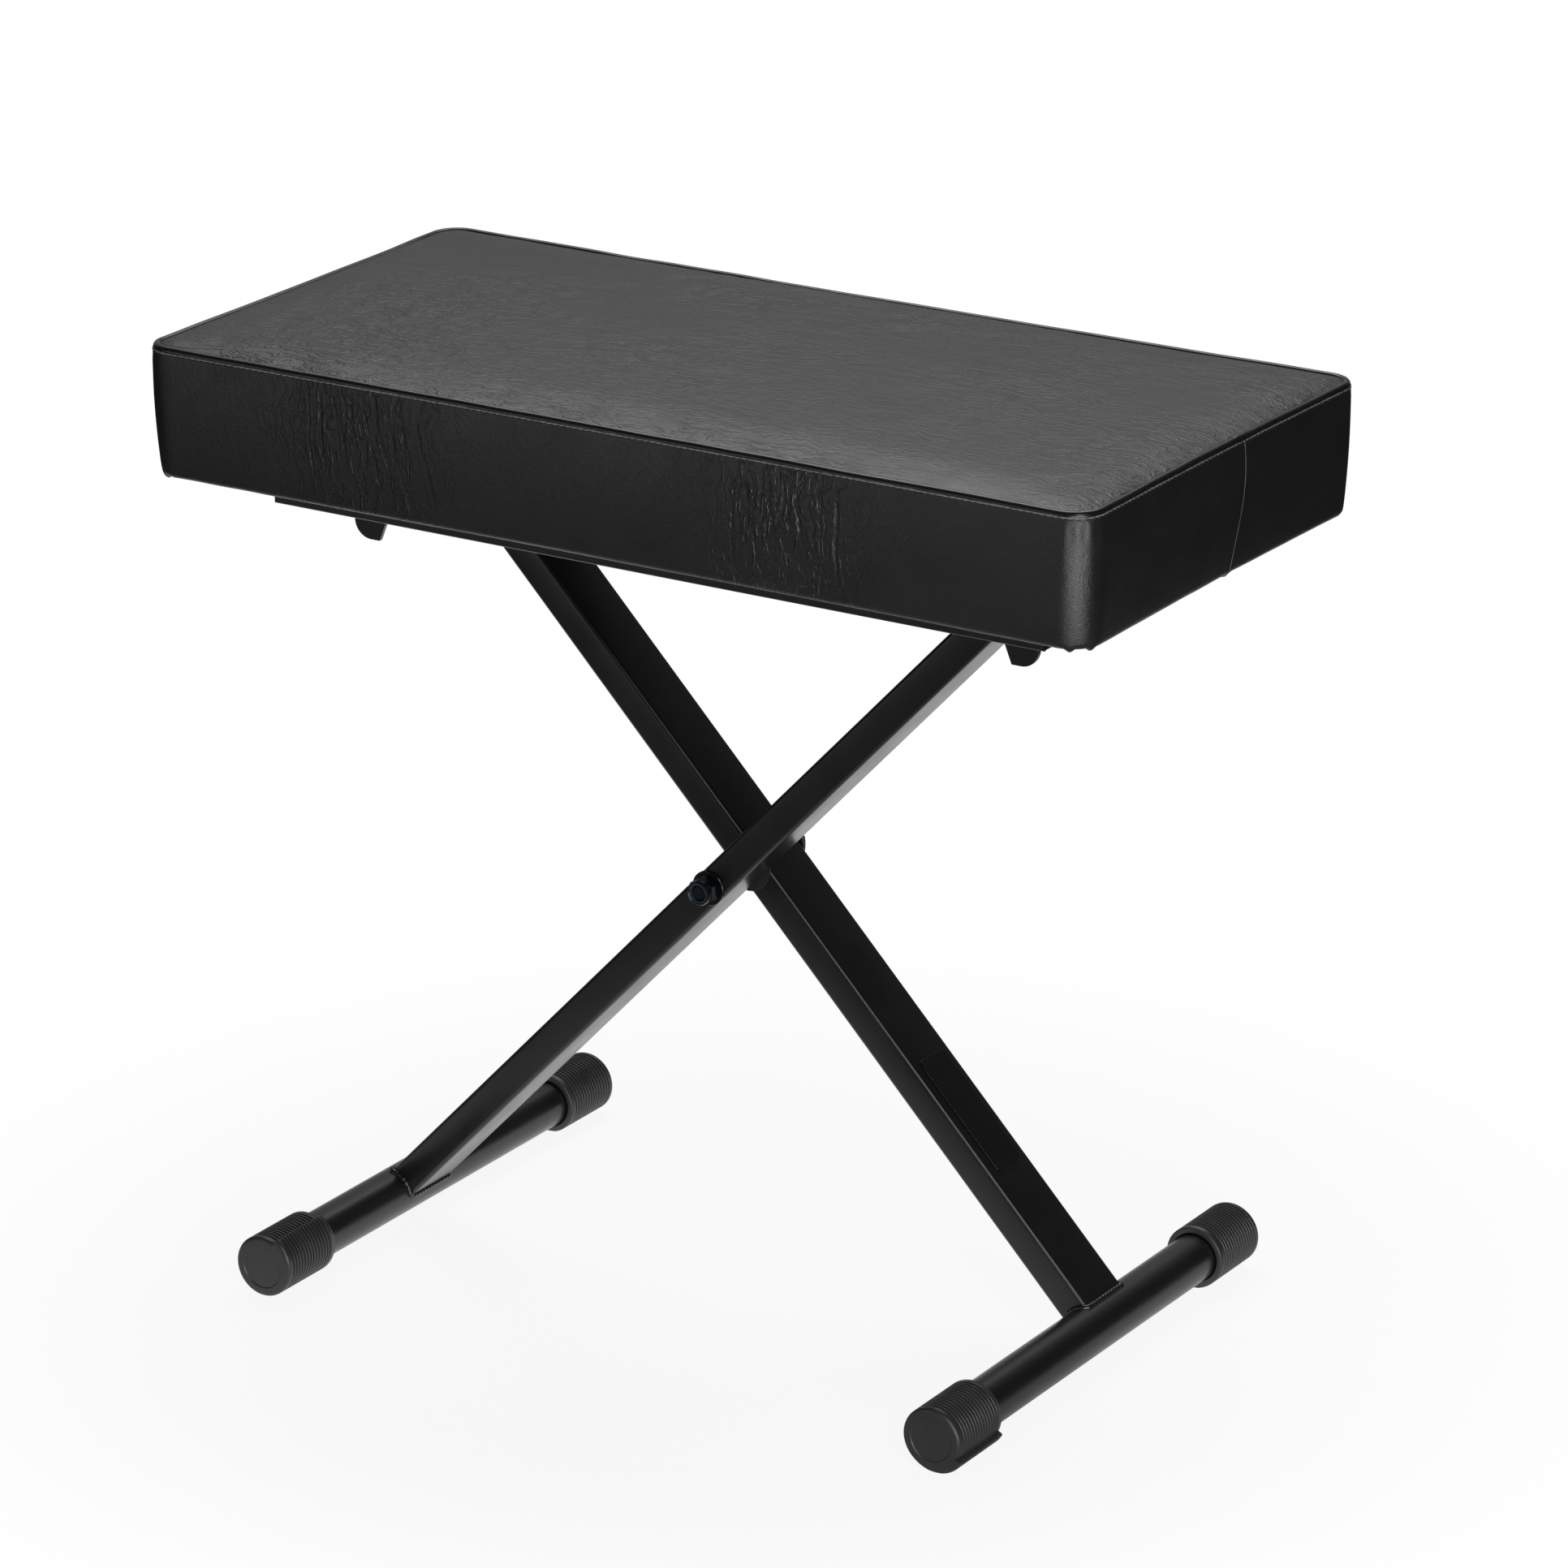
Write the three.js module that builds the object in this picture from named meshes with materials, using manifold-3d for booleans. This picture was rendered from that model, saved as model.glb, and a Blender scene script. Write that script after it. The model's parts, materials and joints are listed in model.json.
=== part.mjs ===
// Folding keyboard bench: a padded seat on a scissor of two flat tube legs.
// Millimetres, +Z up, +X along the seat. The origin is on the floor below the seat's middle.
// Leg A stands in front and its foot is on the left. Leg B stands behind and its foot is on the right.
import * as THREE from "three";
import { mergeVertices } from "three/addons/utils/BufferGeometryUtils.js";
import Module from "manifold-3d";

const wasm = await Module();
wasm.setup();

// The scissor
const PIVOT_HEIGHT = 256.5; // pivot bolt above the floor
const LEG_ANGLE = 46.4; // degrees from the floor to each leg
const BAR_DROP = 18.4; // seat underside to the axis of the top bars

// Leg tubes, a flat section with its broad side along Y
const LEG_BREADTH = 40;
const LEG_DEPTH = 19.6;
const LEG_WALL = 1.5;
const LEG_CORNER = 2.5;
const LEG_CORNER_INNER = 1;
const LEG_SPACER = 1.4; // washer between the two legs
const LABEL_LENGTH = 78;
const LABEL_WIDTH = 26;
const LABEL_THICKNESS = 0.6;
const LABEL_CORNER = 4;
const LABEL_PLACE = 187; // pivot to the label's middle, down leg B

// Round tubes across the legs
const FOOT_RADIUS = 14.2;
const FOOT_WALL = 1.5;
const FOOT_HALF_LENGTH = 160;
const BAR_RADIUS = 10;
const BAR_WALL = 1.5;
const BAR_HALF_LENGTH = 55.8;

// Levelling caps: a round grip with a lobe that lifts the foot as the cap is turned
const CAP_GRIP = 35.4; // how far a cap reaches over its foot tube
const CAP_VOID = 3.6; // foot tube's end to the closed end
const CAP_RADIUS = 18.4;
const CAP_FLOOR = 7; // closed end
const CAP_EDGE = 2.2; // rounding of the closed end
const CAM_LIFT = 3.1;
const CAM_FADE = 110; // degrees from the step to where the lobe has run out
const STEP_RIGHT = -28; // degrees from +X to the step of the front right cap
const STEP_LEFT = 62; // degrees from +X to the step of the front left cap
const STEP_BACK_LEFT = 130; // this cap's lobe is turned to the outside
const CONTACT_FLAT = 0.4; // depth of the flat that each cap stands on

// Pivot bolt and its parts
const PIVOT_BOLT_RADIUS = 5;
const PIVOT_HEAD_RADIUS = 9.2; // to the hexagon's corners
const PIVOT_HEAD_HEIGHT = 6.4;
const PIVOT_NUT_RADIUS = 9.2;
const PIVOT_NUT_HEIGHT = 7;
const PIVOT_COLLAR_RADIUS = 7.2; // locking collar on the nut
const PIVOT_COLLAR_HEIGHT = 3.4;
const PIVOT_THREAD_END = 8.6; // bolt's end past the washer
const PIVOT_WASHER_RADIUS = 10.4;
const PIVOT_WASHER_THICKNESS = 2;
const SPACER_RADIUS = 15;

// Seat hinge bolt and its parts
const HINGE_BOLT_RADIUS = 4;
const HINGE_HEAD_RADIUS = 7.4;
const HINGE_HEAD_HEIGHT = 5.2;
const HINGE_NUT_RADIUS = 7.4;
const HINGE_NUT_HEIGHT = 8;
const HINGE_WASHER_RADIUS = 8.4;
const HINGE_WASHER_THICKNESS = 1.6;
const HINGE_THREAD_END = 9.4;
const BUSH_FLANGE = 1.4;
const BUSH_DEPTH = 14;
const PLUG_FLANGE = 1.4;
const PLUG_DEPTH = 12;

// Seat
const SEAT_LENGTH = 616; // over the piping
const SEAT_WIDTH = 304;
const SEAT_THICKNESS = 73.5; // underside to the top of the piping
const SEAT_CORNER = 18; // plan radius of the corners
const cornerShare = 0.2; // least share of that radius left where an inner piece follows the outline
const SEAT_TAPER = 1.5; // how far each side draws in towards the underside
const SEAT_PULL = 1.6; // how far each side pulls in between its corners
const SEAT_CROWN = 5; // rise of the top panel above its seam
const CROWN_RUN = 105; // from the seam to where the crown is level
const CROWN_ROUNDNESS = 4; // power of the crown's curve: higher is rounder at the seam and flatter inside
const PIPING_RADIUS = 2.6;
const PIPING_PROUD = 1.6; // how far the piping stands out from the boxing
const COVER_THICKNESS = 1.2;
const DUST_THICKNESS = 0.8;
const DUST_INSET = 8;
const BOARD_THICKNESS = 12;
const BOARD_INSET = 6;
const HEM_WIDTH = 24; // cover turned under the board

// Steel under the seat
const RAIL_INSET = 55; // seat's end to a rail's end
const RAIL_FACE = 102; // outer face of a rail from the bench's middle
const RAIL_HEIGHT = 24.6;
const RAIL_WIDTH = 22;
const RAIL_THICKNESS = 2;
const RAIL_GAP = 0.3; // end rail to side rail
const PLATE_MIDDLE = 58.9; // inner face of a side plate from the bench's middle
const PLATE_THICKNESS = 3;
const PLATE_HEIGHT = 36;
const PLATE_INSET = 26.6; // rail's end to a side plate's end
const BAR_INSET = 27.3; // side plate's end to the axis of the nearer top bar
const PLATE_FLANGE = 16;
const EAR_WIDTH = 23;
const EAR_DROP = 15; // ear below the plate's lower edge
const EAR_RADIUS = 11;
const EAR_SLOPE = 6; // lean of the ear's inner edge
const RACK_INSET = 46; // middle of a rack blade from the bench's middle
const RACK_THICKNESS = 3;
const RACK_LENGTH = 96;
const NOTCH_PITCH = 30;
const NOTCH_COUNT = 3;
const NOTCH_RADIUS = 10.4;
const NOTCH_DEPTH = 4.2;

// Screws that hold the steel to the board
const SCREW_RADIUS = 2.4;
const SCREW_HEAD_RADIUS = 5;
const SCREW_HEAD_HEIGHT = 2.6;
const SCREW_LENGTH = 11;
const SCREW_END_MARGIN = 40; // rail's end to its outer screws
const PLATE_SCREW_MARGIN = 30; // plate's end to its screws
const RAIL_SCREW_COUNT = 3;

// Clearances
const GAP = 0.3; // between pieces that touch or are cut to each other
const RUNNING = 0.15; // round pieces that turn in each other
const OVERRUN = 4; // how far a cutting tool runs past what it cuts

// Shape counts
const ROUND_STEPS = 28;
const SMALL_STEPS = 12;
const CORNER_STEPS = 5;
const TUBE_CORNER_STEPS = 3;
const LONG_SIDE_STEPS = 6;
const SHORT_SIDE_STEPS = 4;
const PIPING_SIDES = 6;
const CAM_STEPS = 44;
const HEX_SIDES = 6;

// Places worked out from the sizes above
const rad = THREE.MathUtils.degToRad;
const legAngle = rad(LEG_ANGLE);
const camRadius = (turn) => {
  const fade = Math.min(turn / CAM_FADE, 1);
  return CAP_RADIUS + CAM_LIFT * Math.cos((fade * Math.PI) / 2) ** 2;
};
const stepToFloorRight = STEP_RIGHT + 90;
const stepToFloorLeft = STEP_LEFT + 90;
const footHeight = {
  left: camRadius(stepToFloorLeft) - CONTACT_FLAT,
  right: camRadius(stepToFloorRight) - CONTACT_FLAT,
};
const lowerReach = {
  left: (PIVOT_HEIGHT - footHeight.left) / Math.sin(legAngle),
  right: (PIVOT_HEIGHT - footHeight.right) / Math.sin(legAngle),
};
const footX = { left: -lowerReach.left * Math.cos(legAngle), right: lowerReach.right * Math.cos(legAngle) };
const capStart = FOOT_HALF_LENGTH - CAP_GRIP; // inner rim of a cap from the bench's middle
const capLength = CAP_GRIP + CAP_VOID + CAP_FLOOR;
const railEnd = SEAT_LENGTH / 2 - RAIL_INSET;
const plateEnd = railEnd - PLATE_INSET;
const barX = plateEnd - BAR_INSET;
const upperReach = barX / Math.cos(legAngle); // pivot to the axis of either top bar, alike on both legs
const barHeight = PIVOT_HEIGHT + upperReach * Math.sin(legAngle);
const underside = barHeight + BAR_DROP;
const seatTop = underside + SEAT_THICKNESS;
const boardBottom = underside + DUST_THICKNESS + 2 * GAP + COVER_THICKNESS;
const boardTop = boardBottom + BOARD_THICKNESS;
const legInner = LEG_SPACER / 2;
const legOuter = legInner + LEG_BREADTH;

// Finishes
const steel = new THREE.MeshStandardMaterial({ color: 0x1d1d1e, roughness: 0.42, metalness: 0.1 });
const fixings = new THREE.MeshStandardMaterial({ color: 0x202226, roughness: 0.35, metalness: 0.6 });
const vinyl = new THREE.MeshStandardMaterial({ color: 0x26272a, roughness: 0.5, metalness: 0 });
const pipingVinyl = new THREE.MeshStandardMaterial({ color: 0x1a1b1d, roughness: 0.45, metalness: 0 });
const rubber = new THREE.MeshStandardMaterial({ color: 0x2a2b2c, roughness: 0.75, metalness: 0 });
const nylon = new THREE.MeshStandardMaterial({ color: 0x18191a, roughness: 0.55, metalness: 0 });
const plywood = new THREE.MeshStandardMaterial({ color: 0xb08d5e, roughness: 0.8, metalness: 0 });
const foam = new THREE.MeshStandardMaterial({ color: 0xd9cf9c, roughness: 0.95, metalness: 0 });
const dustCloth = new THREE.MeshStandardMaterial({ color: 0x151516, roughness: 0.95, metalness: 0 });
const gloss = new THREE.MeshStandardMaterial({ color: 0x111112, roughness: 0.2, metalness: 0 });

// A geometry as a solid with its faces outwards, for cutting and joining
function solidOf(geometry) {
  const bare = geometry.index ? geometry.toNonIndexed() : geometry.clone();
  bare.deleteAttribute("normal");
  bare.deleteAttribute("uv");
  const merged = mergeVertices(bare);
  const corners = new Uint32Array(merged.index.array);
  const build = () =>
    new wasm.Manifold(
      new wasm.Mesh({ numProp: 3, vertProperties: merged.attributes.position.array, triVerts: corners }),
    );
  let made = build();
  if (made.volume() < 0) {
    for (let i = 0; i < corners.length; i += 3) corners.subarray(i, i + 3).reverse();
    made = build();
  }
  return made;
}

function geometryOf(solid) {
  const mesh = solid.getMesh();
  const positions = new Float32Array(mesh.numVert * 3);
  for (let i = 0; i < mesh.numVert; i++) {
    positions.set(mesh.vertProperties.subarray(i * mesh.numProp, i * mesh.numProp + 3), i * 3);
  }
  const geometry = new THREE.BufferGeometry();
  geometry.setAttribute("position", new THREE.BufferAttribute(positions, 3));
  geometry.setIndex(new THREE.BufferAttribute(new Uint32Array(mesh.triVerts), 1));
  const flat = geometry.toNonIndexed();
  flat.computeVertexNormals();
  return flat;
}

const outward = (geometry) => geometryOf(solidOf(geometry));
function cut(body, ...tools) {
  return geometryOf(tools.reduce((left, tool) => left.subtract(solidOf(tool)), solidOf(body)));
}
function join(body, ...others) {
  return geometryOf(others.reduce((sum, other) => sum.add(solidOf(other)), solidOf(body)));
}

const bench = new THREE.Group();
function addPiece(name, geometry, material, parent = bench) {
  const mesh = new THREE.Mesh(geometry, material.clone());
  mesh.name = name;
  parent.add(mesh);
  return mesh;
}

// A profile turned about the Y axis: radii against places along Y
function turned(points, steps = ROUND_STEPS) {
  return new THREE.LatheGeometry(
    points.map(([radius, y]) => new THREE.Vector2(radius, y)),
    steps,
  );
}

function rod(radius, from, to, steps = ROUND_STEPS) {
  const outline = [[0, from], [radius, from], [radius, to], [0, to]];
  return turned(outline, steps);
}

function ring(outer, inner, from, to, steps = ROUND_STEPS) {
  const outline = [[inner, from], [outer, from], [outer, to], [inner, to], [inner, from]];
  return turned(outline, steps);
}

// A faceted bore whose flats still clear a round piece of the given radius
const boreFor = (radius) => (radius + RUNNING) / Math.cos(Math.PI / SMALL_STEPS);

// A hexagon across the Y axis, its corners at the given radius
const hexagon = (radius, from, to) => rod(radius, from, to, HEX_SIDES);

// A flat outline drawn in X and Z and given thickness along Y
function plateAlongY(shape, from, to) {
  const settings = { depth: to - from, bevelEnabled: false, curveSegments: CORNER_STEPS };
  const plate = new THREE.ExtrudeGeometry(shape, settings);
  plate.rotateX(Math.PI / 2);
  plate.translate(0, to, 0);
  return plate;
}

function box(from, to) {
  const made = new THREE.BoxGeometry(to[0] - from[0], to[1] - from[1], to[2] - from[2]);
  made.translate((to[0] + from[0]) / 2, (to[1] + from[1]) / 2, (to[2] + from[2]) / 2);
  return made;
}

function roundedRectangle(halfWidth, halfHeight, corner) {
  const shape = new THREE.Shape();
  shape.absarc(halfWidth - corner, halfHeight - corner, corner, 0, Math.PI / 2);
  shape.absarc(corner - halfWidth, halfHeight - corner, corner, Math.PI / 2, Math.PI);
  shape.absarc(corner - halfWidth, corner - halfHeight, corner, Math.PI, 1.5 * Math.PI);
  shape.absarc(halfWidth - corner, corner - halfHeight, corner, 1.5 * Math.PI, 2 * Math.PI);
  return shape;
}

// A flat tube along X, from one place to another
function legTube(from, to) {
  const outer = roundedRectangle(LEG_BREADTH / 2, LEG_DEPTH / 2, LEG_CORNER);
  outer.holes.push(roundedRectangle(LEG_BREADTH / 2 - LEG_WALL, LEG_DEPTH / 2 - LEG_WALL, LEG_CORNER_INNER));
  const settings = { depth: to - from, bevelEnabled: false, curveSegments: TUBE_CORNER_STEPS };
  const tube = new THREE.ExtrudeGeometry(outer, settings);
  // The extrusion runs along Z, so turn its length to X and its breadth to Y
  const alongX = new THREE.Vector3(1, 0, 0);
  const alongY = new THREE.Vector3(0, 1, 0);
  const alongZ = new THREE.Vector3(0, 0, 1);
  tube.applyMatrix4(new THREE.Matrix4().makeBasis(alongY, alongZ, alongX));
  tube.translate(from, 0, 0);
  return tube;
}

// One leg with its foot tube and top bar, in a group turned about the pivot.
// Along the group's X the top bar is on one side of the pivot and the foot on the other.
function addLeg({ name, topSide, side, foot, bolted }) {
  const leg = new THREE.Group();
  leg.position.set(0, 0, PIVOT_HEIGHT);
  leg.rotation.y = -topSide * legAngle;
  bench.add(leg);
  const barAt = topSide * upperReach;
  const footAt = -topSide * lowerReach[foot];
  const middle = side * (legInner + LEG_BREADTH / 2);
  const [from, to] = [Math.min(barAt, footAt), Math.max(barAt, footAt)];
  const tube = legTube(from, to);
  tube.translate(0, middle, 0);
  const barTool = rod(BAR_RADIUS + GAP, -BAR_HALF_LENGTH - OVERRUN, BAR_HALF_LENGTH + OVERRUN);
  barTool.translate(barAt, 0, 0);
  const footTool = rod(FOOT_RADIUS + GAP, -FOOT_HALF_LENGTH, FOOT_HALF_LENGTH);
  footTool.translate(footAt, 0, 0);
  const boltTool = rod(boreFor(PIVOT_BOLT_RADIUS), -legOuter - OVERRUN, legOuter + OVERRUN, SMALL_STEPS);
  addPiece(name + "_tube", cut(tube, barTool, footTool, boltTool), steel, leg);
  const footTube = addPiece(
    "foot_tube_" + foot,
    outward(ring(FOOT_RADIUS, FOOT_RADIUS - FOOT_WALL, -FOOT_HALF_LENGTH, FOOT_HALF_LENGTH)),
    steel,
    leg,
  );
  footTube.position.x = footAt;
  const bar = addPiece(
    bolted ? "hinge_bar" : "rack_bar",
    outward(ring(BAR_RADIUS, BAR_RADIUS - BAR_WALL, -BAR_HALF_LENGTH, BAR_HALF_LENGTH)),
    steel,
    leg,
  );
  bar.position.x = barAt;
  return leg;
}

addLeg({ name: "leg_a", topSide: 1, side: -1, foot: "left", bolted: true });
const legB = addLeg({ name: "leg_b", topSide: -1, side: 1, foot: "right", bolted: false });

// A blank label plate on the upper face of leg B
function addLabel() {
  const label = new THREE.ExtrudeGeometry(roundedRectangle(LABEL_LENGTH / 2, LABEL_WIDTH / 2, LABEL_CORNER), {
    depth: LABEL_THICKNESS,
    bevelEnabled: false,
    curveSegments: CORNER_STEPS,
  });
  const plate = addPiece("label_plate", outward(label), gloss, legB);
  plate.position.set(LABEL_PLACE, legInner + LEG_BREADTH / 2, LEG_DEPTH / 2 + GAP);
}
addLabel();

// Pivot: bolt from behind, spacer between the legs, washers outside them and a locking nut in front
function addPivot() {
  const pivot = new THREE.Group();
  pivot.position.z = PIVOT_HEIGHT;
  bench.add(pivot);
  const backFace = legOuter + GAP + PIVOT_WASHER_THICKNESS + GAP;
  const frontFace = -backFace;
  const bore = boreFor(PIVOT_BOLT_RADIUS);
  const bolt = join(
    rod(PIVOT_BOLT_RADIUS, frontFace - PIVOT_THREAD_END, backFace + PIVOT_HEAD_HEIGHT / 2, SMALL_STEPS),
    hexagon(PIVOT_HEAD_RADIUS, backFace, backFace + PIVOT_HEAD_HEIGHT),
  );
  addPiece("pivot_bolt", bolt, fixings, pivot);
  const washer = ring(PIVOT_WASHER_RADIUS, bore, 0, PIVOT_WASHER_THICKNESS, SMALL_STEPS);
  addPiece("pivot_washer_back", outward(washer), fixings, pivot).position.y = legOuter + GAP;
  const washerFront = addPiece("pivot_washer_front", outward(washer), fixings, pivot);
  washerFront.position.y = -legOuter - GAP - PIVOT_WASHER_THICKNESS;
  const spacer = ring(SPACER_RADIUS, bore, GAP - legInner, legInner - GAP);
  addPiece("pivot_spacer", outward(spacer), nylon, pivot);
  const nutFace = frontFace - PIVOT_NUT_HEIGHT;
  const nut = join(
    hexagon(PIVOT_NUT_RADIUS, nutFace, frontFace),
    rod(PIVOT_COLLAR_RADIUS, nutFace - PIVOT_COLLAR_HEIGHT, frontFace - PIVOT_NUT_HEIGHT / 2, SMALL_STEPS),
  );
  const nutBore = rod(bore, nutFace - PIVOT_COLLAR_HEIGHT - OVERRUN, frontFace + OVERRUN, SMALL_STEPS);
  addPiece("pivot_nut", cut(nut, nutBore), fixings, pivot);
}
addPivot();

// A flanged plug for one end of a top bar
function barFitting(flange, depth, end) {
  const face = BAR_HALF_LENGTH + GAP;
  const fitting = join(
    rod(BAR_RADIUS, face, face + flange),
    rod(BAR_RADIUS - BAR_WALL - GAP, face - depth, face + flange / 2),
  );
  if (end < 0) fitting.rotateX(Math.PI);
  return fitting;
}

// Seat hinge: one long bolt through both side plates, turning in bushes in the ends of the hinge bar
function addHinge() {
  const hinge = new THREE.Group();
  hinge.position.set(barX, 0, barHeight);
  bench.add(hinge);
  const bore = boreFor(HINGE_BOLT_RADIUS);
  const plateOuter = PLATE_MIDDLE + PLATE_THICKNESS;
  const seatFace = plateOuter + GAP + HINGE_WASHER_THICKNESS + GAP;
  const bolt = join(
    rod(HINGE_BOLT_RADIUS, -seatFace - HINGE_HEAD_HEIGHT / 2, seatFace + HINGE_THREAD_END, SMALL_STEPS),
    hexagon(HINGE_HEAD_RADIUS, -seatFace - HINGE_HEAD_HEIGHT, -seatFace),
  );
  addPiece("hinge_bolt", bolt, fixings, hinge);
  const washer = ring(HINGE_WASHER_RADIUS, bore, 0, HINGE_WASHER_THICKNESS, SMALL_STEPS);
  const washerFront = addPiece("hinge_washer_front", outward(washer), fixings, hinge);
  washerFront.position.y = -plateOuter - GAP - HINGE_WASHER_THICKNESS;
  addPiece("hinge_washer_back", outward(washer), fixings, hinge).position.y = plateOuter + GAP;
  const nut = cut(
    hexagon(HINGE_NUT_RADIUS, seatFace, seatFace + HINGE_NUT_HEIGHT),
    rod(bore, seatFace - OVERRUN, seatFace + HINGE_NUT_HEIGHT + OVERRUN, SMALL_STEPS),
  );
  addPiece("hinge_nut", nut, fixings, hinge);
  for (const [name, end] of [["front", -1], ["back", 1]]) {
    const flanged = barFitting(BUSH_FLANGE, BUSH_DEPTH, end);
    const boltTool = rod(bore, -seatFace, seatFace, SMALL_STEPS);
    addPiece("hinge_bush_" + name, cut(flanged, boltTool), nylon, hinge);
  }
}
addHinge();

// Plugs in the ends of the rack bar
for (const [name, end] of [["front", -1], ["back", 1]]) {
  const plug = addPiece("rack_bar_plug_" + name, barFitting(PLUG_FLANGE, PLUG_DEPTH, end), nylon);
  plug.position.set(-barX, 0, barHeight);
}

// The tapered band between two outlines of the same number of points
function loftBetween(wide, narrow, from, to) {
  const along = (shape, y) => shape.getPoints().map((point) => [point.x, y, point.y]);
  return gridSolid([along(wide, from), along(narrow, to)]);
}

// A closed solid from rings of points: joined one to the next, and either closed by a fan
// at both ends or joined from the last ring back to the first
function gridSolid(rings, looped = false) {
  const count = rings[0].length;
  const positions = rings.flat(2);
  const faces = [];
  const bands = looped ? rings.length : rings.length - 1;
  for (let r = 0; r < bands; r++) {
    const below = r * count;
    const above = ((r + 1) % rings.length) * count;
    for (let i = 0; i < count; i++) {
      const next = (i + 1) % count;
      faces.push(below + i, below + next, above + next, below + i, above + next, above + i);
    }
  }
  if (!looped) {
    for (const [points, ringStart] of [[rings[0], 0], [rings.at(-1), (rings.length - 1) * count]]) {
      const centre = positions.length / 3;
      for (let axis = 0; axis < 3; axis++) {
        positions.push(points.reduce((sum, point) => sum + point[axis], 0) / count);
      }
      for (let i = 0; i < count; i++) {
        const rim = [ringStart + i, ringStart + ((i + 1) % count)];
        faces.push(centre, ...(ringStart ? rim : rim.reverse()));
      }
    }
  }
  const geometry = new THREE.BufferGeometry();
  geometry.setAttribute("position", new THREE.Float32BufferAttribute(positions, 3));
  geometry.setIndex(faces);
  return outward(geometry);
}

// Levelling cap: its outline is drawn in X and Z, with the step at angle zero, and its
// lobe fades clockwise as seen from the closed end
function addCap(name, foot, end, stepAngle) {
  const outline = new THREE.Shape();
  const rim = new THREE.Shape();
  for (let i = 0; i <= CAM_STEPS; i++) {
    const turn = (360 * i) / CAM_STEPS;
    const angle = rad(stepAngle) + end * rad(turn);
    const radius = camRadius(turn);
    const place = (shape, r) => shape[i ? "lineTo" : "moveTo"](r * Math.cos(angle), r * Math.sin(angle));
    place(outline, radius);
    place(rim, radius - CAP_EDGE);
  }
  const bodyLength = capLength - CAP_EDGE;
  const start = end > 0 ? capStart : -capStart - bodyLength;
  const body = plateAlongY(outline, start, start + bodyLength);
  const face = end * (capStart + bodyLength);
  const close = end * (capStart + capLength);
  const edge = loftBetween(outline, rim, face, close);
  const bore = rod(FOOT_RADIUS + GAP, capStart - OVERRUN, capStart + capLength - CAP_FLOOR);
  if (end < 0) bore.rotateX(Math.PI);
  const floorTool = box(
    [-2 * CAP_RADIUS, close < 0 ? close - OVERRUN : capStart - OVERRUN, -footHeight[foot] - 2 * CAP_RADIUS],
    [2 * CAP_RADIUS, close < 0 ? OVERRUN - capStart : close + OVERRUN, -footHeight[foot]],
  );
  const cap = addPiece("levelling_cap_" + name, cut(join(body, edge), bore, floorTool), rubber);
  cap.position.set(footX[foot], 0, footHeight[foot]);
}

addCap("front_left", "left", -1, STEP_LEFT);
addCap("front_right", "right", -1, STEP_RIGHT);
addCap("back_left", "left", 1, STEP_BACK_LEFT);
addCap("back_right", "right", 1, 180 - STEP_RIGHT);

// Screws: three through each rail and two through each side plate
const screwPlaces = [];
const railScrewY = RAIL_FACE - RAIL_WIDTH / 2;
const plateScrewY = PLATE_MIDDLE + PLATE_THICKNESS + PLATE_FLANGE / 2;
for (const [name, end] of [["front", -1], ["back", 1]]) {
  for (let i = 0; i < RAIL_SCREW_COUNT; i++) {
    const share = (2 * i) / (RAIL_SCREW_COUNT - 1) - 1;
    const x = (railEnd - SCREW_END_MARGIN) * share;
    screwPlaces.push({ name: "rail_screw_" + name + "_" + (i + 1), x, y: end * railScrewY });
  }
  for (const [label, side] of [["left", -1], ["right", 1]]) {
    const x = side * (plateEnd - PLATE_SCREW_MARGIN);
    screwPlaces.push({ name: "plate_screw_" + name + "_" + label, x, y: end * plateScrewY });
  }
}

// The hole that a screw needs in what it passes through
function screwTool(x, y) {
  const tool = rod(SCREW_RADIUS + GAP, underside - OVERRUN, boardBottom + SCREW_LENGTH, SMALL_STEPS);
  tool.rotateX(Math.PI / 2);
  tool.translate(x, y, 0);
  return tool;
}

for (const { name, x, y } of screwPlaces) {
  const headTop = underside - RAIL_THICKNESS - GAP;
  const headBottom = headTop - SCREW_HEAD_HEIGHT;
  const headEdge = headTop - SCREW_HEAD_HEIGHT / 2;
  const domed = [[0, headBottom], [SCREW_HEAD_RADIUS / 2, headBottom], [SCREW_HEAD_RADIUS, headEdge]];
  const screw = join(
    turned([...domed, [SCREW_HEAD_RADIUS, headTop], [0, headTop]], SMALL_STEPS),
    rod(SCREW_RADIUS, headEdge, boardBottom + SCREW_LENGTH - GAP, SMALL_STEPS),
  );
  screw.rotateX(Math.PI / 2);
  addPiece(name, screw, fixings).position.set(x, y, 0);
}

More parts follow.
